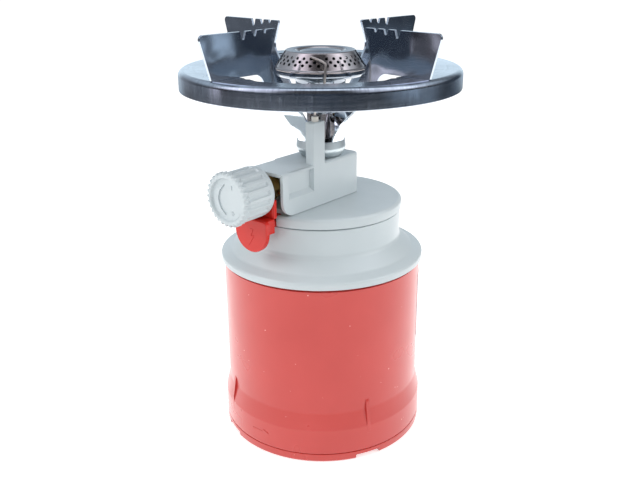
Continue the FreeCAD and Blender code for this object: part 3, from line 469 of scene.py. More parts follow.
# each band of the room's walls: the rise over which it starts, in radii, and its colours by azimuth in degrees
roomBands = [
    ((0.0, 0.04), ((-180, (0.14, 0.15, 0.17)), (-147, (0.18, 0.19, 0.21)), (-95, (0.04, 0.055, 0.08)),
                   (-50, (0.02, 0.03, 0.045)), (-20, (0.03, 0.04, 0.055)), (-3, (0.20, 0.26, 0.33)),
                   (14, (0.05, 0.065, 0.085)), (42, (0.10, 0.13, 0.17)), (62, (0.36, 0.42, 0.46)),
                   (122, (0.5, 0.6, 0.7)), (143, (0.20, 0.21, 0.23)), (166, (0.18, 0.19, 0.21)))),
    ((0.12, 0.145), ((-180, (1.2, 1.12, 1.25)), (-171.6, (1.2, 1.12, 1.25)), (-168.4, (0.10, 0.09, 0.10)),
                     (-160, (0.12, 0.12, 0.14)), (-95, (0.07, 0.09, 0.12)), (-50, (0.03, 0.04, 0.055)),
                     (-20, (0.6, 0.74, 0.9)), (-12.2, (0.75, 0.92, 1.1)), (-9.5, (0.10, 0.12, 0.15)),
                     (-5, (0.35, 0.42, 0.5)), (20, (0.05, 0.065, 0.085)), (62, (0.5, 0.6, 0.7)),
                     (122, (0.6, 0.7, 0.8)), (150, (0.3, 0.32, 0.36)))),
    ((0.205, 0.235), ((-180, (0.12, 0.11, 0.13)), (-173, (0.10, 0.09, 0.11)), (-168, (0.02, 0.018, 0.024)),
                      (-147, (0.12, 0.13, 0.15)), (-95, (0.08, 0.10, 0.13)), (-50, (0.02, 0.028, 0.04)),
                      (-18, (0.03, 0.04, 0.055)), (-2, (0.04, 0.05, 0.065)), (42, (0.05, 0.07, 0.10)),
                      (68, (1.0, 1.2, 1.35)), (78, (1.0, 1.2, 1.35)), (90, (0.34, 0.44, 0.55)),
                      (102, (1.0, 1.2, 1.35)), (112, (1.0, 1.2, 1.35)), (143, (0.30, 0.32, 0.36)),
                      (166, (0.14, 0.15, 0.17)))),
    ((0.46, 0.7), ((-180, (1.3, 1.35, 1.5)), (-162, (2.4, 2.3, 2.6)), (-140, (1.3, 1.25, 1.4)),
                   (-116, (0.12, 0.115, 0.12)), (-70, (0.10, 0.10, 0.105)), (-44, (1.2, 1.2, 1.3)),
                   (-18, (2.4, 2.4, 2.6)), (8, (0.9, 1.0, 1.1)), (40, (0.3, 0.33, 0.36)), (90, (0.2, 0.24, 0.3)),
                   (150, (0.7, 0.8, 0.9))))]

floorShape = bmesh.new()
bmesh.ops.create_circle(floorShape, cap_ends=True, radius=studio["floorRadius"], segments=96)
floor = placed("floor", meshOf("floor", floorShape))
floor.location.z = -studio["floorDrop"]
paper, paperTree, paperShader = newMaterial("sweepPaper", Roughness=0.9)
paperShader.inputs["Base Color"].default_value = (*studio["floorColour"], 1)
path = addNode(paperTree, "ShaderNodeLightPath")
seen = sums(paperTree, "MAXIMUM", path.outputs["Is Camera Ray"], path.outputs["Is Transmission Ray"])
level = sums(paperTree, "MAXIMUM", sums(paperTree, "MULTIPLY", seen, studio["floorGlow"]),
             sums(paperTree, "MULTIPLY", path.outputs["Is Glossy Ray"], studio["floorGlare"]))
glow = addNode(paperTree, "ShaderNodeEmission", {"Color": (1, 1, 1, 1), "Strength": level})
both = addNode(paperTree, "ShaderNodeAddShader")
paperTree.links.new(paperShader.outputs[0], both.inputs[0])
paperTree.links.new(glow.outputs[0], both.inputs[1])
paperTree.links.new(both.outputs[0], paperTree.nodes["Material Output"].inputs[0])
floor.data.materials.append(paper)

world = bpy.data.worlds.new("softRoom")
bpy.context.scene.world = world
world.use_nodes = True
roomTree = world.node_tree
roomPath = addNode(roomTree, "ShaderNodeLightPath")
roomSeen = sums(roomTree, "MAXIMUM", roomPath.outputs["Is Camera Ray"],
                sums(roomTree, "MAXIMUM", roomPath.outputs["Is Glossy Ray"], roomPath.outputs["Is Transmission Ray"]))
strength = ranged(roomTree, roomSeen, 0, 1, studio["worldLight"], 1.0)
roomTree.nodes["Background"].inputs["Color"].default_value = (1, 1, 1, 1)
roomTree.links.new(strength, roomTree.nodes["Background"].inputs["Strength"])


def makeRoom():
    # the room round the stove, which only mirrored rays see: dark in front, pale behind
    shape = bmesh.new()
    bmesh.ops.create_uvsphere(shape, u_segments=64, v_segments=32, radius=studio["roomRadius"])
    bmesh.ops.bisect_plane(shape, geom=shape.verts[:] + shape.edges[:] + shape.faces[:],
                           plane_co=(0, 0, studio["roomStart"]), plane_no=upAxis, clear_inner=True)
    room = placed("room", meshOf("room", shape))
    for ray in ("visible_camera", "visible_diffuse", "visible_shadow", "visible_transmission"):
        setattr(room, ray, False)
    walls, tree, shader = newMaterial("roomWalls", Roughness=1.0)
    shader.inputs["Base Color"].default_value = (0, 0, 0, 1)
    shader.inputs["Specular IOR Level"].default_value = 0
    apart = addNode(tree, "ShaderNodeSeparateXYZ", {"Vector": objectPoint(tree)})
    turn = ranged(tree, sums(tree, "ARCTAN2", apart.outputs[1], apart.outputs[0]), -math.pi, math.pi)
    rise = sums(tree, "DIVIDE", apart.outputs[2], studio["roomRadius"])
    colour = studio["skirting"]
    for start, paints in roomBands:
        ramp = addNode(tree, "ShaderNodeValToRGB", {"Fac": turn})
        ramp.color_ramp.interpolation = "EASE"
        stops = ramp.color_ramp.elements
        stops.remove(stops[1])
        stops[0].color = (*paints[0][1], 1)
        for azimuth, paint in paints[1:]:
            stops.new((azimuth + 180) / 360).color = (*paint, 1)
        colour = mixColour(tree, ranged(tree, rise, *start), colour, ramp.outputs[0])
    colour = mixColour(tree, ranged(tree, rise, *studio["skylightStart"]), colour, studio["skylight"])
    tree.links.new(colour, shader.inputs["Emission Color"])
    shader.inputs["Emission Strength"].default_value = 1
    room.data.materials.append(walls)


makeRoom()


def addLamp(name, place, size, power, mirrored=True):
    light = bpy.data.lights.new(name, "AREA")
    light.shape = "RECTANGLE"
    light.size, light.size_y = size
    light.energy = power
    stand = placed(name, light)
    stand.location = place
    stand.rotation_euler = (Vector(studio["lampTarget"]) - Vector(place)).to_track_quat("-Z", "Y").to_euler()
    stand.visible_glossy = mirrored


addLamp("leftBox", (-0.8, -0.3, 0.6), (0.5, 0.6), 4.2)
addLamp("rightBox", (0.85, -0.2, 0.5), (0.4, 0.6), 3.6)
addLamp("frontBox", (-0.15, -1.2, 0.35), (0.9, 0.7), 2.6, mirrored=False)
addLamp("topBox", (0.0, 0.1, 1.0), (0.8, 0.8), 1.4)
print("camera, floor and lamps set")


# Base plate, the red foot that closes the holder

basePlate = {"radius": 50.0, "lipHeight": 4.2, "lipInner": 44.5, "floorTop": 3.2, "floor": 2.0, "upstand": (45.1, 46.8),
             "upstandTop": 14.0, "gripWidth": 13.0, "gripHeight": 2.4, "gripDepth": 4.5, "firstGrip": -154.0,
             "lug": (9.6, 12), "lugSpan": 24, "lugReach": 47.7}
gripAngles = [math.radians(basePlate["firstGrip"] + 90 * n) for n in range(4)]


def makeBasePlate():
    b = basePlate
    inner, outer = b["upstand"]
    low, high = b["lug"]
    under = b["floorTop"] - b["floor"]
    plate = turned([(0, under), (b["lipInner"] - 0.1, under, 0.6), (b["lipInner"], 0, 0.7),
                    (b["radius"], 0, 1.1), (b["radius"], b["lipHeight"], 0.45), (outer, b["lipHeight"]),
                    (outer, b["upstandTop"], 0.5), (inner, b["upstandTop"], 0.5), (inner, b["floorTop"], 0.4),
                    (0, b["floorTop"])], 180, False)
    grips = [spun(rounded(block((b["radius"] - b["gripDepth"], -b["gripWidth"] / 2, -1),
                                (b["radius"] + 1, b["gripWidth"] / 2, b["gripHeight"])), 0.5, 3), angle)
             for angle in gripAngles]
    plate = cutAway(plate, joined(*grips))
    span = math.radians(b["lugSpan"])
    lugs = [arcBar([(outer - 0.5, low), (b["lugReach"], low, 0.2), (b["lugReach"], high, 0.2), (outer - 0.5, high)],
                   angle - span / 2, span, 12) for angle in gripAngles]
    makePiece("basePlate", joined(plate, *lugs), "base", "red_plastic", ["base_plate"])


makeBasePlate()


# Cartridge holder, the tall red tube with its wider foot

holder = {"radius": 48.0, "wall": 1.8, "top": 88.5, "bottom": 4.35, "footRadius": 50.0, "footWall": 2.0,
          "shoulder": (17.0, 25.4), "ribWidth": 1.8, "rib": (12.0, 31.0), "shelfSpan": 56, "shelf": (6.35, 9.35),
          "shelfReach": (47.0, 48.4), "groove": (1.15, 1.2), "arrow": (-127.0, 11.0, 49.9), "arrowDepth": 0.25,
          "arrowCorners": ((-5, -0.5, 0.2), (1.6, -0.5), (1.6, -1.7, 0.2), (5, 0, 0.3), (1.6, 1.7, 0.2), (1.6, 0.5),
                           (-5, 0.5, 0.2))}


def makeHolder():
    h = holder
    low, high = h["shoulder"]
    groove, depth = h["groove"]
    outside, foot, top = h["radius"], h["footRadius"], h["top"]
    inside, footInside = outside - h["wall"], foot - h["footWall"]
    tube = turned([(inside, top), (inside, high - 0.8, 3), (footInside, low - 0.8, 2), (footInside, h["bottom"]),
                   (foot, h["bottom"], 0.5), (foot - 0.05, low, 3.2), (outside, high, 6), (outside, top - groove, 0.2),
                   (outside - depth, top - groove), (outside - depth, top)], 200)
    parts = [tube]
    ribLow, ribHigh = h["rib"]
    (inner, outer), (under, over) = h["shelfReach"], h["shelf"]
    for angle in gripAngles:
        rib = sheetOf([(outside - 0.6, ribLow), (foot - 0.3, ribLow), (foot, ribLow + 1, 0.5), (foot, low + 2, 1.5),
                       (outside + 0.15, ribHigh, 3), (outside - 0.6, ribHigh)], h["ribWidth"])
        parts.append(spun(rounded(rib, 0.4, 3, lambda e: middleOf(e).x > outside + 0.1), angle))
        parts.append(arcBar([(inner, under), (outer, under), (outer, over), (inner, over, 0.3)],
                            angle + math.radians(45 - h["shelfSpan"] / 2), math.radians(h["shelfSpan"]), 20))
    angle, height, radius = h["arrow"]
    arrow = drawnOut(h["arrowCorners"], h["arrowDepth"], lambda a, b: (radius, a, height + b), outAxis)
    for vert in arrow.verts:
        vert.co.x = math.sqrt(vert.co.x ** 2 - vert.co.y ** 2)
    parts.append(spun(arrow, math.radians(angle)))
    makePiece("holderTube", joined(*parts), "stove", "red_plastic", ["cartridge_holder"])


makeHolder()
print("foot and holder made")


# Collar and top cover, the white shoulder

collar = {"flangeRadius": 49.3, "bottom": 88.5, "flangeTop": 91.7, "slopeEnd": (44.2, 93.5), "neck": 37.9,
          "neckStart": 99.6, "top": 112.6, "wall": 1.8, "spigot": (45.14, 46.14), "spigotDepth": 6.5,
          "ledge": (103.0, 34.5), "slopeInner": (42.9, 92.1)}
cover = {"radius": 38.6, "bottom": 113.1, "top": 118.0, "edge": 1.6, "wall": 2.0, "spigot": (34.64, 36.04),
         "bore": 5.06, "notch": (30.0, 5.25), "leadHole": (14.4, 8.45, 1.2), "screwAngles": (70, 180, 290),
         "screwCircle": 29.0, "screwRadius": 1.2, "boss": (3.2, 3.4, 104.5)}


def makeCollar():
    c = collar
    inner = c["neck"] - c["wall"]
    spigotIn, spigotOut = c["spigot"]
    ledge, ledgeIn = c["ledge"]
    low, high = c["bottom"], c["top"]
    shape = turned([(spigotIn, low - c["spigotDepth"]), (spigotOut, low - c["spigotDepth"], 0.4), (spigotOut, low),
                    (c["flangeRadius"], low, 0.5), (c["flangeRadius"], c["flangeTop"], 1.2), (*c["slopeEnd"], 3.5),
                    (c["neck"], c["neckStart"], 3.5), (c["neck"], high, 0.5), (inner, high, 0.3), (inner, ledge),
                    (ledgeIn, ledge), (ledgeIn, ledge - 1.5), (inner, ledge - 2.5), (inner, c["neckStart"] - 0.8, 3),
                    (*c["slopeInner"], 2), (spigotIn, low + 1.5)], 200)
    makePiece("collarShell", shape, "stove", "white_plastic", ["collar"])


def makeCover():
    c = cover
    spigotIn, spigotOut = c["spigot"]
    under = c["top"] - c["wall"]
    shape = turned([(c["bore"], under), (spigotIn, under, 0.5), (spigotIn, c["bottom"] - 3),
                    (spigotOut, c["bottom"] - 3, 0.3), (spigotOut, c["bottom"]), (c["radius"], c["bottom"], 0.5),
                    (c["radius"], c["top"], c["edge"]), (c["bore"], c["top"])], 200)
    start, half = c["notch"]
    room = rounded(block((start, -half, c["bottom"] - 4), (c["radius"] + 2, half, c["top"] + 1)), 0.6, 3,
                   lambda e: middleOf(e).x < start + 0.1 and abs(middleOf(e).z - 115) < 3)
    hole = bmesh.new()
    x, y, radius = c["leadHole"]
    bmesh.ops.create_cone(hole, cap_ends=True, segments=24, radius1=radius, radius2=radius, depth=8,
                          matrix=Matrix.Translation((x, y, c["top"])))
    parts = [cutAway(shape, joined(room, hole))]
    narrow, wide, low = c["boss"]
    high = under + 0.4
    for angle in c["screwAngles"]:
        boss = turned([(c["screwRadius"], low), (narrow, low, 0.3), (wide, high), (c["screwRadius"], high)], 32)
        parts.append(spun(shifted(boss, x=c["screwCircle"]), math.radians(angle)))
    makePiece("coverCap", aimed(joined(*parts)), "stove", "white_plastic", ["top_cover"])


makeCollar()
makeCover()
print("collar and cover made")


# Valve housing: a thin box, open below and at the knob's end, with a pocket and the post

housing = {"back": -16.0, "front": 39.6, "half": 10.9, "bottom": 118.25, "top": 138.0, "wall": 1.5, "corner": 3.0,
           "roofEdge": 1.1, "lowerCorner": 7.0, "pocket": (18.5, 35.6, 126.0, 137.1), "pocketDepth": 2.1,
           "pocketSlope": 0.45, "sillRise": 1.3, "post": (10.3, 18.5, 6.0, 10.9, 157.2), "postEdge": 0.6,
           "sideRib": (-13.0, 19.5, 128.0, 137.7, 1.4), "edgeRound": 0.22}


def makeHousing():
    h = housing
    box = block((h["back"], -h["half"], h["bottom"]), (h["front"], h["half"], h["top"]))
    bmesh.ops.delete(box, geom=[f for f in box.faces if f.normal.z < -0.9 or f.normal.x > 0.9], context="FACES")
    lowCorners = [v for v in box.verts if v.co.x > 0 and v.co.z < h["bottom"] + 1]
    bevelled(box, lowCorners, h["lowerCorner"], 9)
    backEdges = [e for e in box.edges if all(v.co.x < h["back"] + 0.1 for v in e.verts)
                 and abs(e.verts[0].co.z - e.verts[1].co.z) > 1]
    bevelled(box, backEdges, h["corner"], 6, "EDGES")
    roofEdges = [e for e in box.edges if all(v.co.z > h["top"] - 0.1 for v in e.verts) and len(e.link_faces) == 2]
    bevelled(box, roofEdges, h["roofEdge"], 4, "EDGES")
    start, stop, low, high = h["pocket"]
    for place, normal in (((start, 0, 0), (1, 0, 0)), ((stop, 0, 0), (1, 0, 0)), ((0, 0, low), (0, 0, 1)),
                          ((0, 0, min(high, h["top"] - h["roofEdge"] - 0.05)), (0, 0, 1))):
        near = [f for f in box.faces if f.normal.y > 0.95]
        geometry = near + list({e for f in near for e in f.edges}) + list({v for f in near for v in f.verts})
        bmesh.ops.bisect_plane(box, geom=geometry, plane_co=place, plane_no=normal, dist=0.001)
    sunk = [f for f in box.faces if f.normal.y > 0.95 and start < f.calc_center_median().x < stop
            and low < f.calc_center_median().z < high]
    bmesh.ops.inset_region(box, faces=sunk, thickness=h["pocketSlope"], depth=-h["pocketDepth"], use_even_offset=True)
    floorLow = min(v.co.z for f in sunk for v in f.verts)
    for vert in {v for f in sunk for v in f.verts}:
        if vert.co.z < floorLow + 0.01:
            vert.co.z += h["sillRise"]
    bmesh.ops.solidify(box, geom=box.faces[:], thickness=h["wall"])
    outward(box)
    x0, x1, y0, y1, postTop = h["post"]
    post = rounded(block((x0, y0, h["bottom"] + 0.15), (x1, y1 + 0.03, postTop)), h["postEdge"], 3,
                   lambda e: middleOf(e).z > h["bottom"] + 1)
    r0, r1, z0, z1, reach = h["sideRib"]
    rib = rounded(block((r0, -h["half"] - reach, z0), (r1, -h["half"] + 0.5, z1)), 0.45, 3)
    makePiece("valveBox", aimed(joined(box, post, rib)), "stove", "white_plastic", ["valve_housing"],
              edgeRound=h["edgeRound"])


makeHousing()
print("housing made")


# Knob, with a fluted skirt and a finely toothed rim

knob = {"start": 44.4, "end": 63.5, "radius": 11.4, "rimRadius": 12.15, "rimWidth": 2.5, "skirt": 1.9, "faceDepth": 1.3,
        "faceRadius": 9.0, "hub": 4.6, "hubStart": 46.0, "socket": 2.52, "steps": 360, "flutes": 18, "fluteDepth": 0.85,
        "fluteHalf": 1.2, "teeth": 30, "toothDepth": 0.85, "toothHalf": 0.9, "markDepth": 0.85,
        "bars": ((-6.6, 2.2, -4.6, 2.7), (4.6, 2.2, 6.6, 2.7), (5.35, 1.45, 5.85, 3.45)),
        "crescent": ((-6.6, -1.6), (-4.6, -5.4, 2), (0.4, -7.4, 4), (5.4, -5.0, 2), (6.8, -1.2), (4.4, -3.9, 3),
                     (0.2, -5.6, 4), (-4.0, -4.0, 2))}


def carve(shape, count, depth, half, low, high, above):
    # presses evenly spaced grooves into the outside of a turned shape
    pitch = 2 * math.pi / count
    for vert in shape.verts:
        radius = math.hypot(vert.co.x, vert.co.y)
        if radius < above or not low < vert.co.z < high:
            continue
        angle = math.atan2(vert.co.y, vert.co.x)
        away = abs((angle / pitch + 0.5) % 1 - 0.5) * pitch * radius
        if away < half:
            cutIn = depth * math.sqrt(1 - (away / half) ** 2)
            vert.co.x *= 1 - cutIn / radius
            vert.co.y *= 1 - cutIn / radius


def makeKnob():
    k = knob
    start, end, outside, rim = k["start"], k["end"], k["radius"], k["rimRadius"]
    face = end - k["faceDepth"]
    rimStart = end - k["rimWidth"]
    skirtIn = outside - k["skirt"]
    socket, hub, hubStart = k["socket"], k["hub"], k["hubStart"]
    shape = turned([(0, end - 4.2), (socket, end - 4.2), (socket, hubStart), (hub, hubStart, 0.3), (hub, face - 3.2),
                    (skirtIn, face - 3.2), (skirtIn, start, 0.4), (outside - 0.35, start, 1.6), (outside, start + 3.4),
                    (outside, start + 3.9), (outside, start + 4.4), (outside, rimStart - 1.2),
                    (outside, rimStart - 0.7), (rim, rimStart, 0.25), (rim, end - 0.7, 0.5), (outside, end, 0.45),
                    (k["faceRadius"] + 0.5, end, 0.45), (k["faceRadius"], face, 0.4), (0, face)], k["steps"], False)
    carve(shape, k["flutes"], k["fluteDepth"], k["fluteHalf"], start + 3.7, rimStart - 0.6, outside - 0.2)
    carve(shape, k["teeth"], k["toothDepth"], k["toothHalf"], rimStart - 0.5, end + 1, outside - 0.3)
    crescent = drawnOut(k["crescent"], k["markDepth"], lambda a, b: (a, b, face - 0.2), upAxis)
    # a minus on one side, and a plus of two bars on the other
    marks = [rounded(block((low, back, face - 0.2), (high, front, face + 0.3)), 0.12, 2)
             for low, back, high, front in k["bars"]]
    makePiece("turnKnob", aimed(alongSpindle(joined(shape, crescent, *marks))), "knob", "white_plastic",
              ["control_knob"])


makeKnob()


# Ignition button: a hanging tongue in front, a guard behind it and a flat stem in to the piezo unit

button = {"half": 9.5, "front": 49.5, "face": 2.5, "bottom": 103.1, "top": 118.6, "webStart": 42.8, "webBottom": 112.0,
          "guard": (41.2, 43.2, 118.4, 127.0), "opening": 7.2, "stem": (28.0, 4.9, 112.9, 115.7), "pad": (107.0, 2.5),
          "sideStep": 0.9, "ridge": 7.6, "markDepth": 0.5,
          "bolt": ((-0.5, 3.9), (-2.3, -0.5), (-0.3, -0.3), (-1.2, -4.2), (2.3, 0.9), (0.4, 0.7), (1.7, 3.9))}


def makeButton():
    b = button
    front, half, low, high = b["front"], b["half"], b["bottom"], b["top"]
    tongue = sheetOf([(-half, high, 1.4), (-half, low, half - 0.02), (half, low, half - 0.02), (half, high, 1.4)],
                     b["face"], lambda a, c: (0, a, c))
    rounded(tongue, 0.75, 4)
    shifted(tongue, x=front - b["face"] / 2)
    bolt = drawnOut(b["bolt"], b["markDepth"], lambda a, c: (0, a, c), outAxis)
    shifted(bolt, x=front - 0.32, z=(low + high) / 2 - 0.5)
    side = half - b["sideStep"]
    web = rounded(block((b["webStart"], -side, b["webBottom"]), (front - 1, side, high - 0.02)), 0.4, 3)
    g0, g1, low, high = b["guard"]
    guard = rounded(block((g0, -side, low), (g1, side, high)), 0.4, 3)
    ridges = [rounded(block((g1 - 0.3, y - 0.35, low + 0.6), (g1 + 0.35, y + 0.35, high - 0.6)), 0.2, 2)
              for y in (-b["ridge"], b["ridge"])]
    hole = bmesh.new()
    bmesh.ops.create_cone(hole, cap_ends=True, segments=64, radius1=b["opening"], radius2=b["opening"], depth=20)
    shifted(alongSpindle(hole), x=front - 2)
    backWall = cutAway(joined(web, guard), hole)
    s0, half, s1, s2 = b["stem"]
    stem = rounded(block((s0, -half, s1), (front - 1.2, half, s2)), 0.3, 2)
    pad = rounded(block((s0, -half, b["pad"][0]), (s0 + b["pad"][1], half, s2 - 0.02)), 0.3, 2)
    makePiece("sparkButton", aimed(joined(tongue, bolt, backWall, stem, pad, *ridges)), "button", "red_plastic",
              ["ignition_button"], "redGloss")


makeButton()
print("knob and button made")


# Pan ring: a flat ring with a deep skirt, tongues that reach in under the arms, and slots for their tabs

panRing = {"radius": 64.6, "inner": 51.8, "top": 179.5, "skirt": 9.0, "edge": 2.6, "sheet": 0.8, "tongueReach": 48.0,
           "tongueHalfAngle": 15.0, "tongueEnd": 5.5, "tongueShares": (0.35, 0.7, 1.0), "tongueTaper": 1.15,
           "tongueCurl": 1.6, "slot": (57.2, 62.7, 0.7), "steps": 240}
arms = {"FrontRight": (-45, "pan_arm_front_right"), "BackRight": (45, "pan_arm_back_right"),
        "BackLeft": (135, "pan_arm_back_left"), "FrontLeft": (225, "pan_arm_front_left")}
armTurns = [math.radians(angle) for angle, _ in arms.values()]


def makeRing():
    r = panRing
    inner, top, sheet = r["inner"], r["top"], r["sheet"]
    wall = r["radius"] - sheet
    skirtEnd = top - r["skirt"]
    shape = turned([(inner, top), (inner, top - sheet), (wall, top - sheet, r["edge"] - sheet), (wall, skirtEnd),
                    (r["radius"], skirtEnd, 0.3), (r["radius"], top, r["edge"])], r["steps"])
    half = math.radians(r["tongueHalfAngle"])
    rootHalf, rootAlong = inner * math.sin(half), inner * math.cos(half)
    for turn in armTurns:
        middle = Vector((math.cos(turn), math.sin(turn), 0))
        across = upAxis.cross(middle)
        lip = []
        for face in shape.faces:
            centre = face.calc_center_median()
            flat = Vector((centre.x, centre.y, 0))
            if abs(flat.length - inner) < 0.05 and flat.angle(middle) < half:
                lip.append(face)
        width = 0
        for share in r["tongueShares"]:
            # each step draws the lip further in and narrower, and side runs from -1 to 1 across it
            before = width
            taper = (1 - share) ** r["tongueTaper"]
            width = rootHalf * taper + r["tongueEnd"] * (1 - taper)
            grown = bmesh.ops.extrude_face_region(shape, geom=lip)
            bmesh.ops.delete(shape, geom=lip, context="FACES")
            lip = [f for f in grown["geom"] if isinstance(f, bmesh.types.BMFace)]
            for vert in {v for f in lip for v in f.verts}:
                sideways, forward = vert.co.dot(across), vert.co.dot(middle)
                side = sideways / before if before else math.atan2(sideways, forward) / half
                along = rootAlong * (1 - share) + r["tongueReach"] * share
                if share < 1:
                    along += (inner - rootAlong) * (1 - share) * (1 - side ** 2)
                else:
                    along += r["tongueCurl"] * side ** 4
                vert.co = middle * along + across * side * width + upAxis * vert.co.z
    slotIn, slotOut, slotHalf = r["slot"]
    slots = [spun(block((slotIn, -slotHalf, top - 4), (slotOut, slotHalf, top + 1)), turn) for turn in armTurns]
    makePiece("panRing", cutAway(shape, joined(*slots)), "stove", "ring_chrome", ["pan_ring"])


makeRing()


# Pan arms: a notched blade that runs down into a twisted leg

panArm = {"sheet": 1.2, "top": 198.0, "innerTop": 27.0, "outerTop": 68.5, "outerBottom": 63.0, "waist": (31.0, 186.0),
          "notches": ((45.5, 2.0, 3.3), (39.2, 1.7, 2.3), (33.6, 1.3, 1.5)), "notchShares": (0.75, 0.28, 0.3),
          "legTop": 171.0, "leg": (21.4, 32.2), "legCurve": (0.32, 1.6), "legTwist": (-90, 1.1),
          "tab": (57.3, 62.6, 2.4), "footWidth": 7.0, "footHeight": 146.0, "footPlace": 10.7, "footSheet": 1.0,
          "stations": 18, "edgeRound": 0.14}


def makeArm(side, angle, node):
    a = panArm
    ringTop, bladeTop = panRing["top"], a["top"]
    legIn, legOut = a["leg"]
    tabIn, tabOut, tabDepth = a["tab"]
    corners = [(legIn, a["legTop"]), (legOut, a["legTop"]), (legOut + 4.8, ringTop + 0.05, 4.5), (tabIn, ringTop),
               (tabIn, ringTop - tabDepth, 0.4), (tabOut, ringTop - tabDepth, 0.4), (tabOut, ringTop),
               (a["outerBottom"], ringTop, 0.3), (a["outerTop"], bladeTop, 2.0)]
    mouth, root, curve = a["notchShares"]
    for place, width, depth in a["notches"]:
        corners += [(place + width * mouth, bladeTop, 0.3), (place + width * root, bladeTop - depth, width * curve),
                    (place - width * root, bladeTop - depth, width * curve), (place - width * mouth, bladeTop, 0.3)]
    corners += [(a["innerTop"], bladeTop, 0.8), (*a["waist"], 4)]
    shape = sheetOf(corners, a["sheet"])
    end = [f for f in shape.faces if all(abs(v.co.z - a["legTop"]) < 0.01 for v in f.verts)]
    middleTop = sum(a["leg"]) / 2
    order = [(1 if v.co.x > middleTop else -1, 1 if v.co.y > 0 else -1) for v in end[0].verts]
    straight, power = a["legCurve"]
    turnBelow, hold = a["legTwist"]
    for step in range(a["stations"] - 1, -1, -1):
        share = step / a["stations"]
        height = a["footHeight"] + share * (a["legTop"] - a["footHeight"])
        lean = straight * share + (1 - straight) * share ** power
        middle = a["footPlace"] + lean * (middleTop - a["footPlace"])
        ease = share * share * (3 - 2 * share)
        twist = math.radians(turnBelow * (1 - ease) ** hold)
        halfWidth = (a["footWidth"] + (legOut - legIn - a["footWidth"]) * share) / 2
        halfSheet = (a["footSheet"] + (a["sheet"] - a["footSheet"]) * share) / 2
        along = Vector((math.cos(twist), math.sin(twist), 0))
        across = Vector((-math.sin(twist), math.cos(twist), 0))
        end = bmesh.ops.extrude_discrete_faces(shape, faces=end)["faces"]
        for vert, (u, v) in zip(end[0].verts, order):
            vert.co = Vector((middle, 0, height)) + along * (u * halfWidth) + across * (v * halfSheet)
    outward(shape)
    makePiece("panArm" + side, spun(shape, math.radians(angle)), "stove", "arm_chrome", [node],
              edgeRound=a["edgeRound"])


for side, (angle, node) in arms.items():
    makeArm(side, angle, node)
print("ring and arms made")


# Cup, burner head and perforated cap

cup = {"bore": 5.46, "bottom": 138.0, "bottomRadius": 9.3, "belly": 11.8, "rim": 11.2, "height": 8.0,
       "bellyShare": 0.45, "wall": 1.0}
burner = {"socket": 6.52, "socketBottom": 158.5, "socketRadius": 7.5, "neck": 11.5, "neckBottom": 164.0, "flare": 174.6,
          "radius": 21.4, "rimBottom": 176.2, "rimTop": 178.6, "wall": 0.8}
cap = {"wall": 0.6, "radius": 21.1, "foot": 179.3, "topRadius": 16.0, "top": 186.9, "dish": 10.2, "dishDepth": 1.5,
       "columns": 66, "firstHole": -81.5, "rows": (0.28, 0.48, 0.68), "rowHalf": 0.1, "holeInset": 0.15,
       "holeCorner": 0.38, "largestHole": 2.2, "crown": (9.7, 186.3, 187.0)}


def makeCup():
    c = cup
    low, wall = c["bottom"], c["wall"]
    belly = low + c["bellyShare"] * c["height"]
    shape = turned([(c["bore"], low), (c["bottomRadius"], low, 1.8), (c["belly"], belly, 3.2),
                    (c["rim"], low + c["height"], 0.3), (c["rim"] - wall, low + c["height"], 0.3),
                    (c["belly"] - wall, belly, 2.4), (c["bottomRadius"] - 0.5, low + wall, 1),
                    (c["bore"], low + wall)], 96)
    makePiece("supportBowl", shape, "stove", "arm_chrome", ["support_cup"], "bowlChrome")


def makeHead():
    b = burner
    rim, rimLow, rimTop = b["radius"], b["rimBottom"], b["rimTop"]
    neck, neckLow, flare, wall = b["neck"], b["neckBottom"], b["flare"], b["wall"]
    shape = turned([(b["socket"], b["socketBottom"]), (b["socketRadius"], b["socketBottom"], 0.2),
                    (b["socketRadius"], neckLow - 2.5, 1), (neck, neckLow, 1.8), (neck, flare, 2.5),
                    (rim - 1.6, rimLow - 0.6, 1.8), (rim, rimLow + 0.6, 0.8), (rim, rimTop, 0.3), (rim - wall, rimTop),
                    (rim - wall, rimLow + 1.2, 0.5), (neck - wall, flare + 0.6, 1), (neck - wall, neckLow + 0.7, 1),
                    (b["socket"], neckLow - 1.7)], 128)
    makePiece("burnerHead", shape, "stove", "burner_steel", ["burner_head"], "neckChrome")


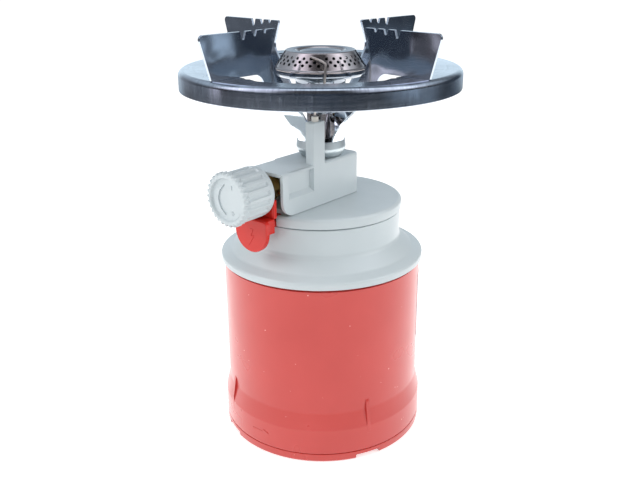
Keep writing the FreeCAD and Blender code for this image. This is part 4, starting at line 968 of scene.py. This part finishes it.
def makeCap():
    c = cap
    low, high = Vector((c["radius"] - 0.6, c["foot"] + 0.5)), Vector((c["topRadius"], c["top"]))
    bands = []
    for row in c["rows"]:
        for edge in (row - c["rowHalf"], row + c["rowHalf"]):
            if not bands or abs(edge - bands[-1]) > 0.01:
                bands.append(edge)
    floorLevel = c["top"] - c["dishDepth"]
    rim, rimTop = burner["radius"], burner["rimTop"]
    shape = turned([(rim - burner["wall"], rimTop), (rim, rimTop, 0.3), (rim, c["foot"], 0.5), (*low, 0.5),
                    *[tuple(low.lerp(high, b)) for b in bands], (*high, 0.9), (c["dish"] + 1.6, c["top"], 1.2),
                    (c["dish"], floorLevel)], c["columns"], False, math.radians(c["firstHole"] - 180 / c["columns"]))
    if sum(f.normal.z for f in shape.faces) < 0:
        bmesh.ops.reverse_faces(shape, faces=shape.faces[:])
    pierced = []
    for face in shape.faces:
        centre = face.calc_center_median()
        share = (Vector((math.hypot(centre.x, centre.y), centre.z)) - low).length / (high - low).length
        column = round((math.degrees(math.atan2(centre.y, centre.x)) - c["firstHole"]) / (360 / c["columns"]))
        for number, row in enumerate(c["rows"]):
            if abs(share - row) < 0.05 and centre.z > c["foot"] + 1 and (column + number) % 2 == 0:
                pierced.append(face)
    bmesh.ops.inset_individual(shape, faces=pierced, thickness=c["holeInset"], use_even_offset=True)
    corners = list({v for f in pierced for v in f.verts})
    bevelled(shape, corners, c["holeCorner"], 1)
    holes = [f for f in shape.faces if len(f.verts) == 8 and f.calc_area() < c["largestHole"]]
    print("flame holes", len(holes))
    bmesh.ops.delete(shape, geom=holes, context="FACES")
    bmesh.ops.solidify(shape, geom=shape.faces[:], thickness=c["wall"])
    makePiece("burnerCap", outward(shape), "stove", "burner_steel", ["burner_cap"], smoothBelow=50)
    edge, low, high = c["crown"]
    brim = c["dish"] - 0.05
    crown = turned([(0, high), (edge * 0.45, high - 0.12), (edge * 0.8, high - 0.38), (edge, low, 0.35),
                    (edge - 0.35, low - 0.5), (brim, floorLevel, 0.2), (brim, floorLevel - 0.8),
                    (edge - 2, floorLevel - 0.8), (edge - 2, low - 1), (0, high - 0.9)], 96, False)
    makePiece("burnerCrown", crown, "stove", "burner_steel", ["burner_disc", "disc_rivet"])


makeCup()
makeHead()
makeCap()
print("burner made")
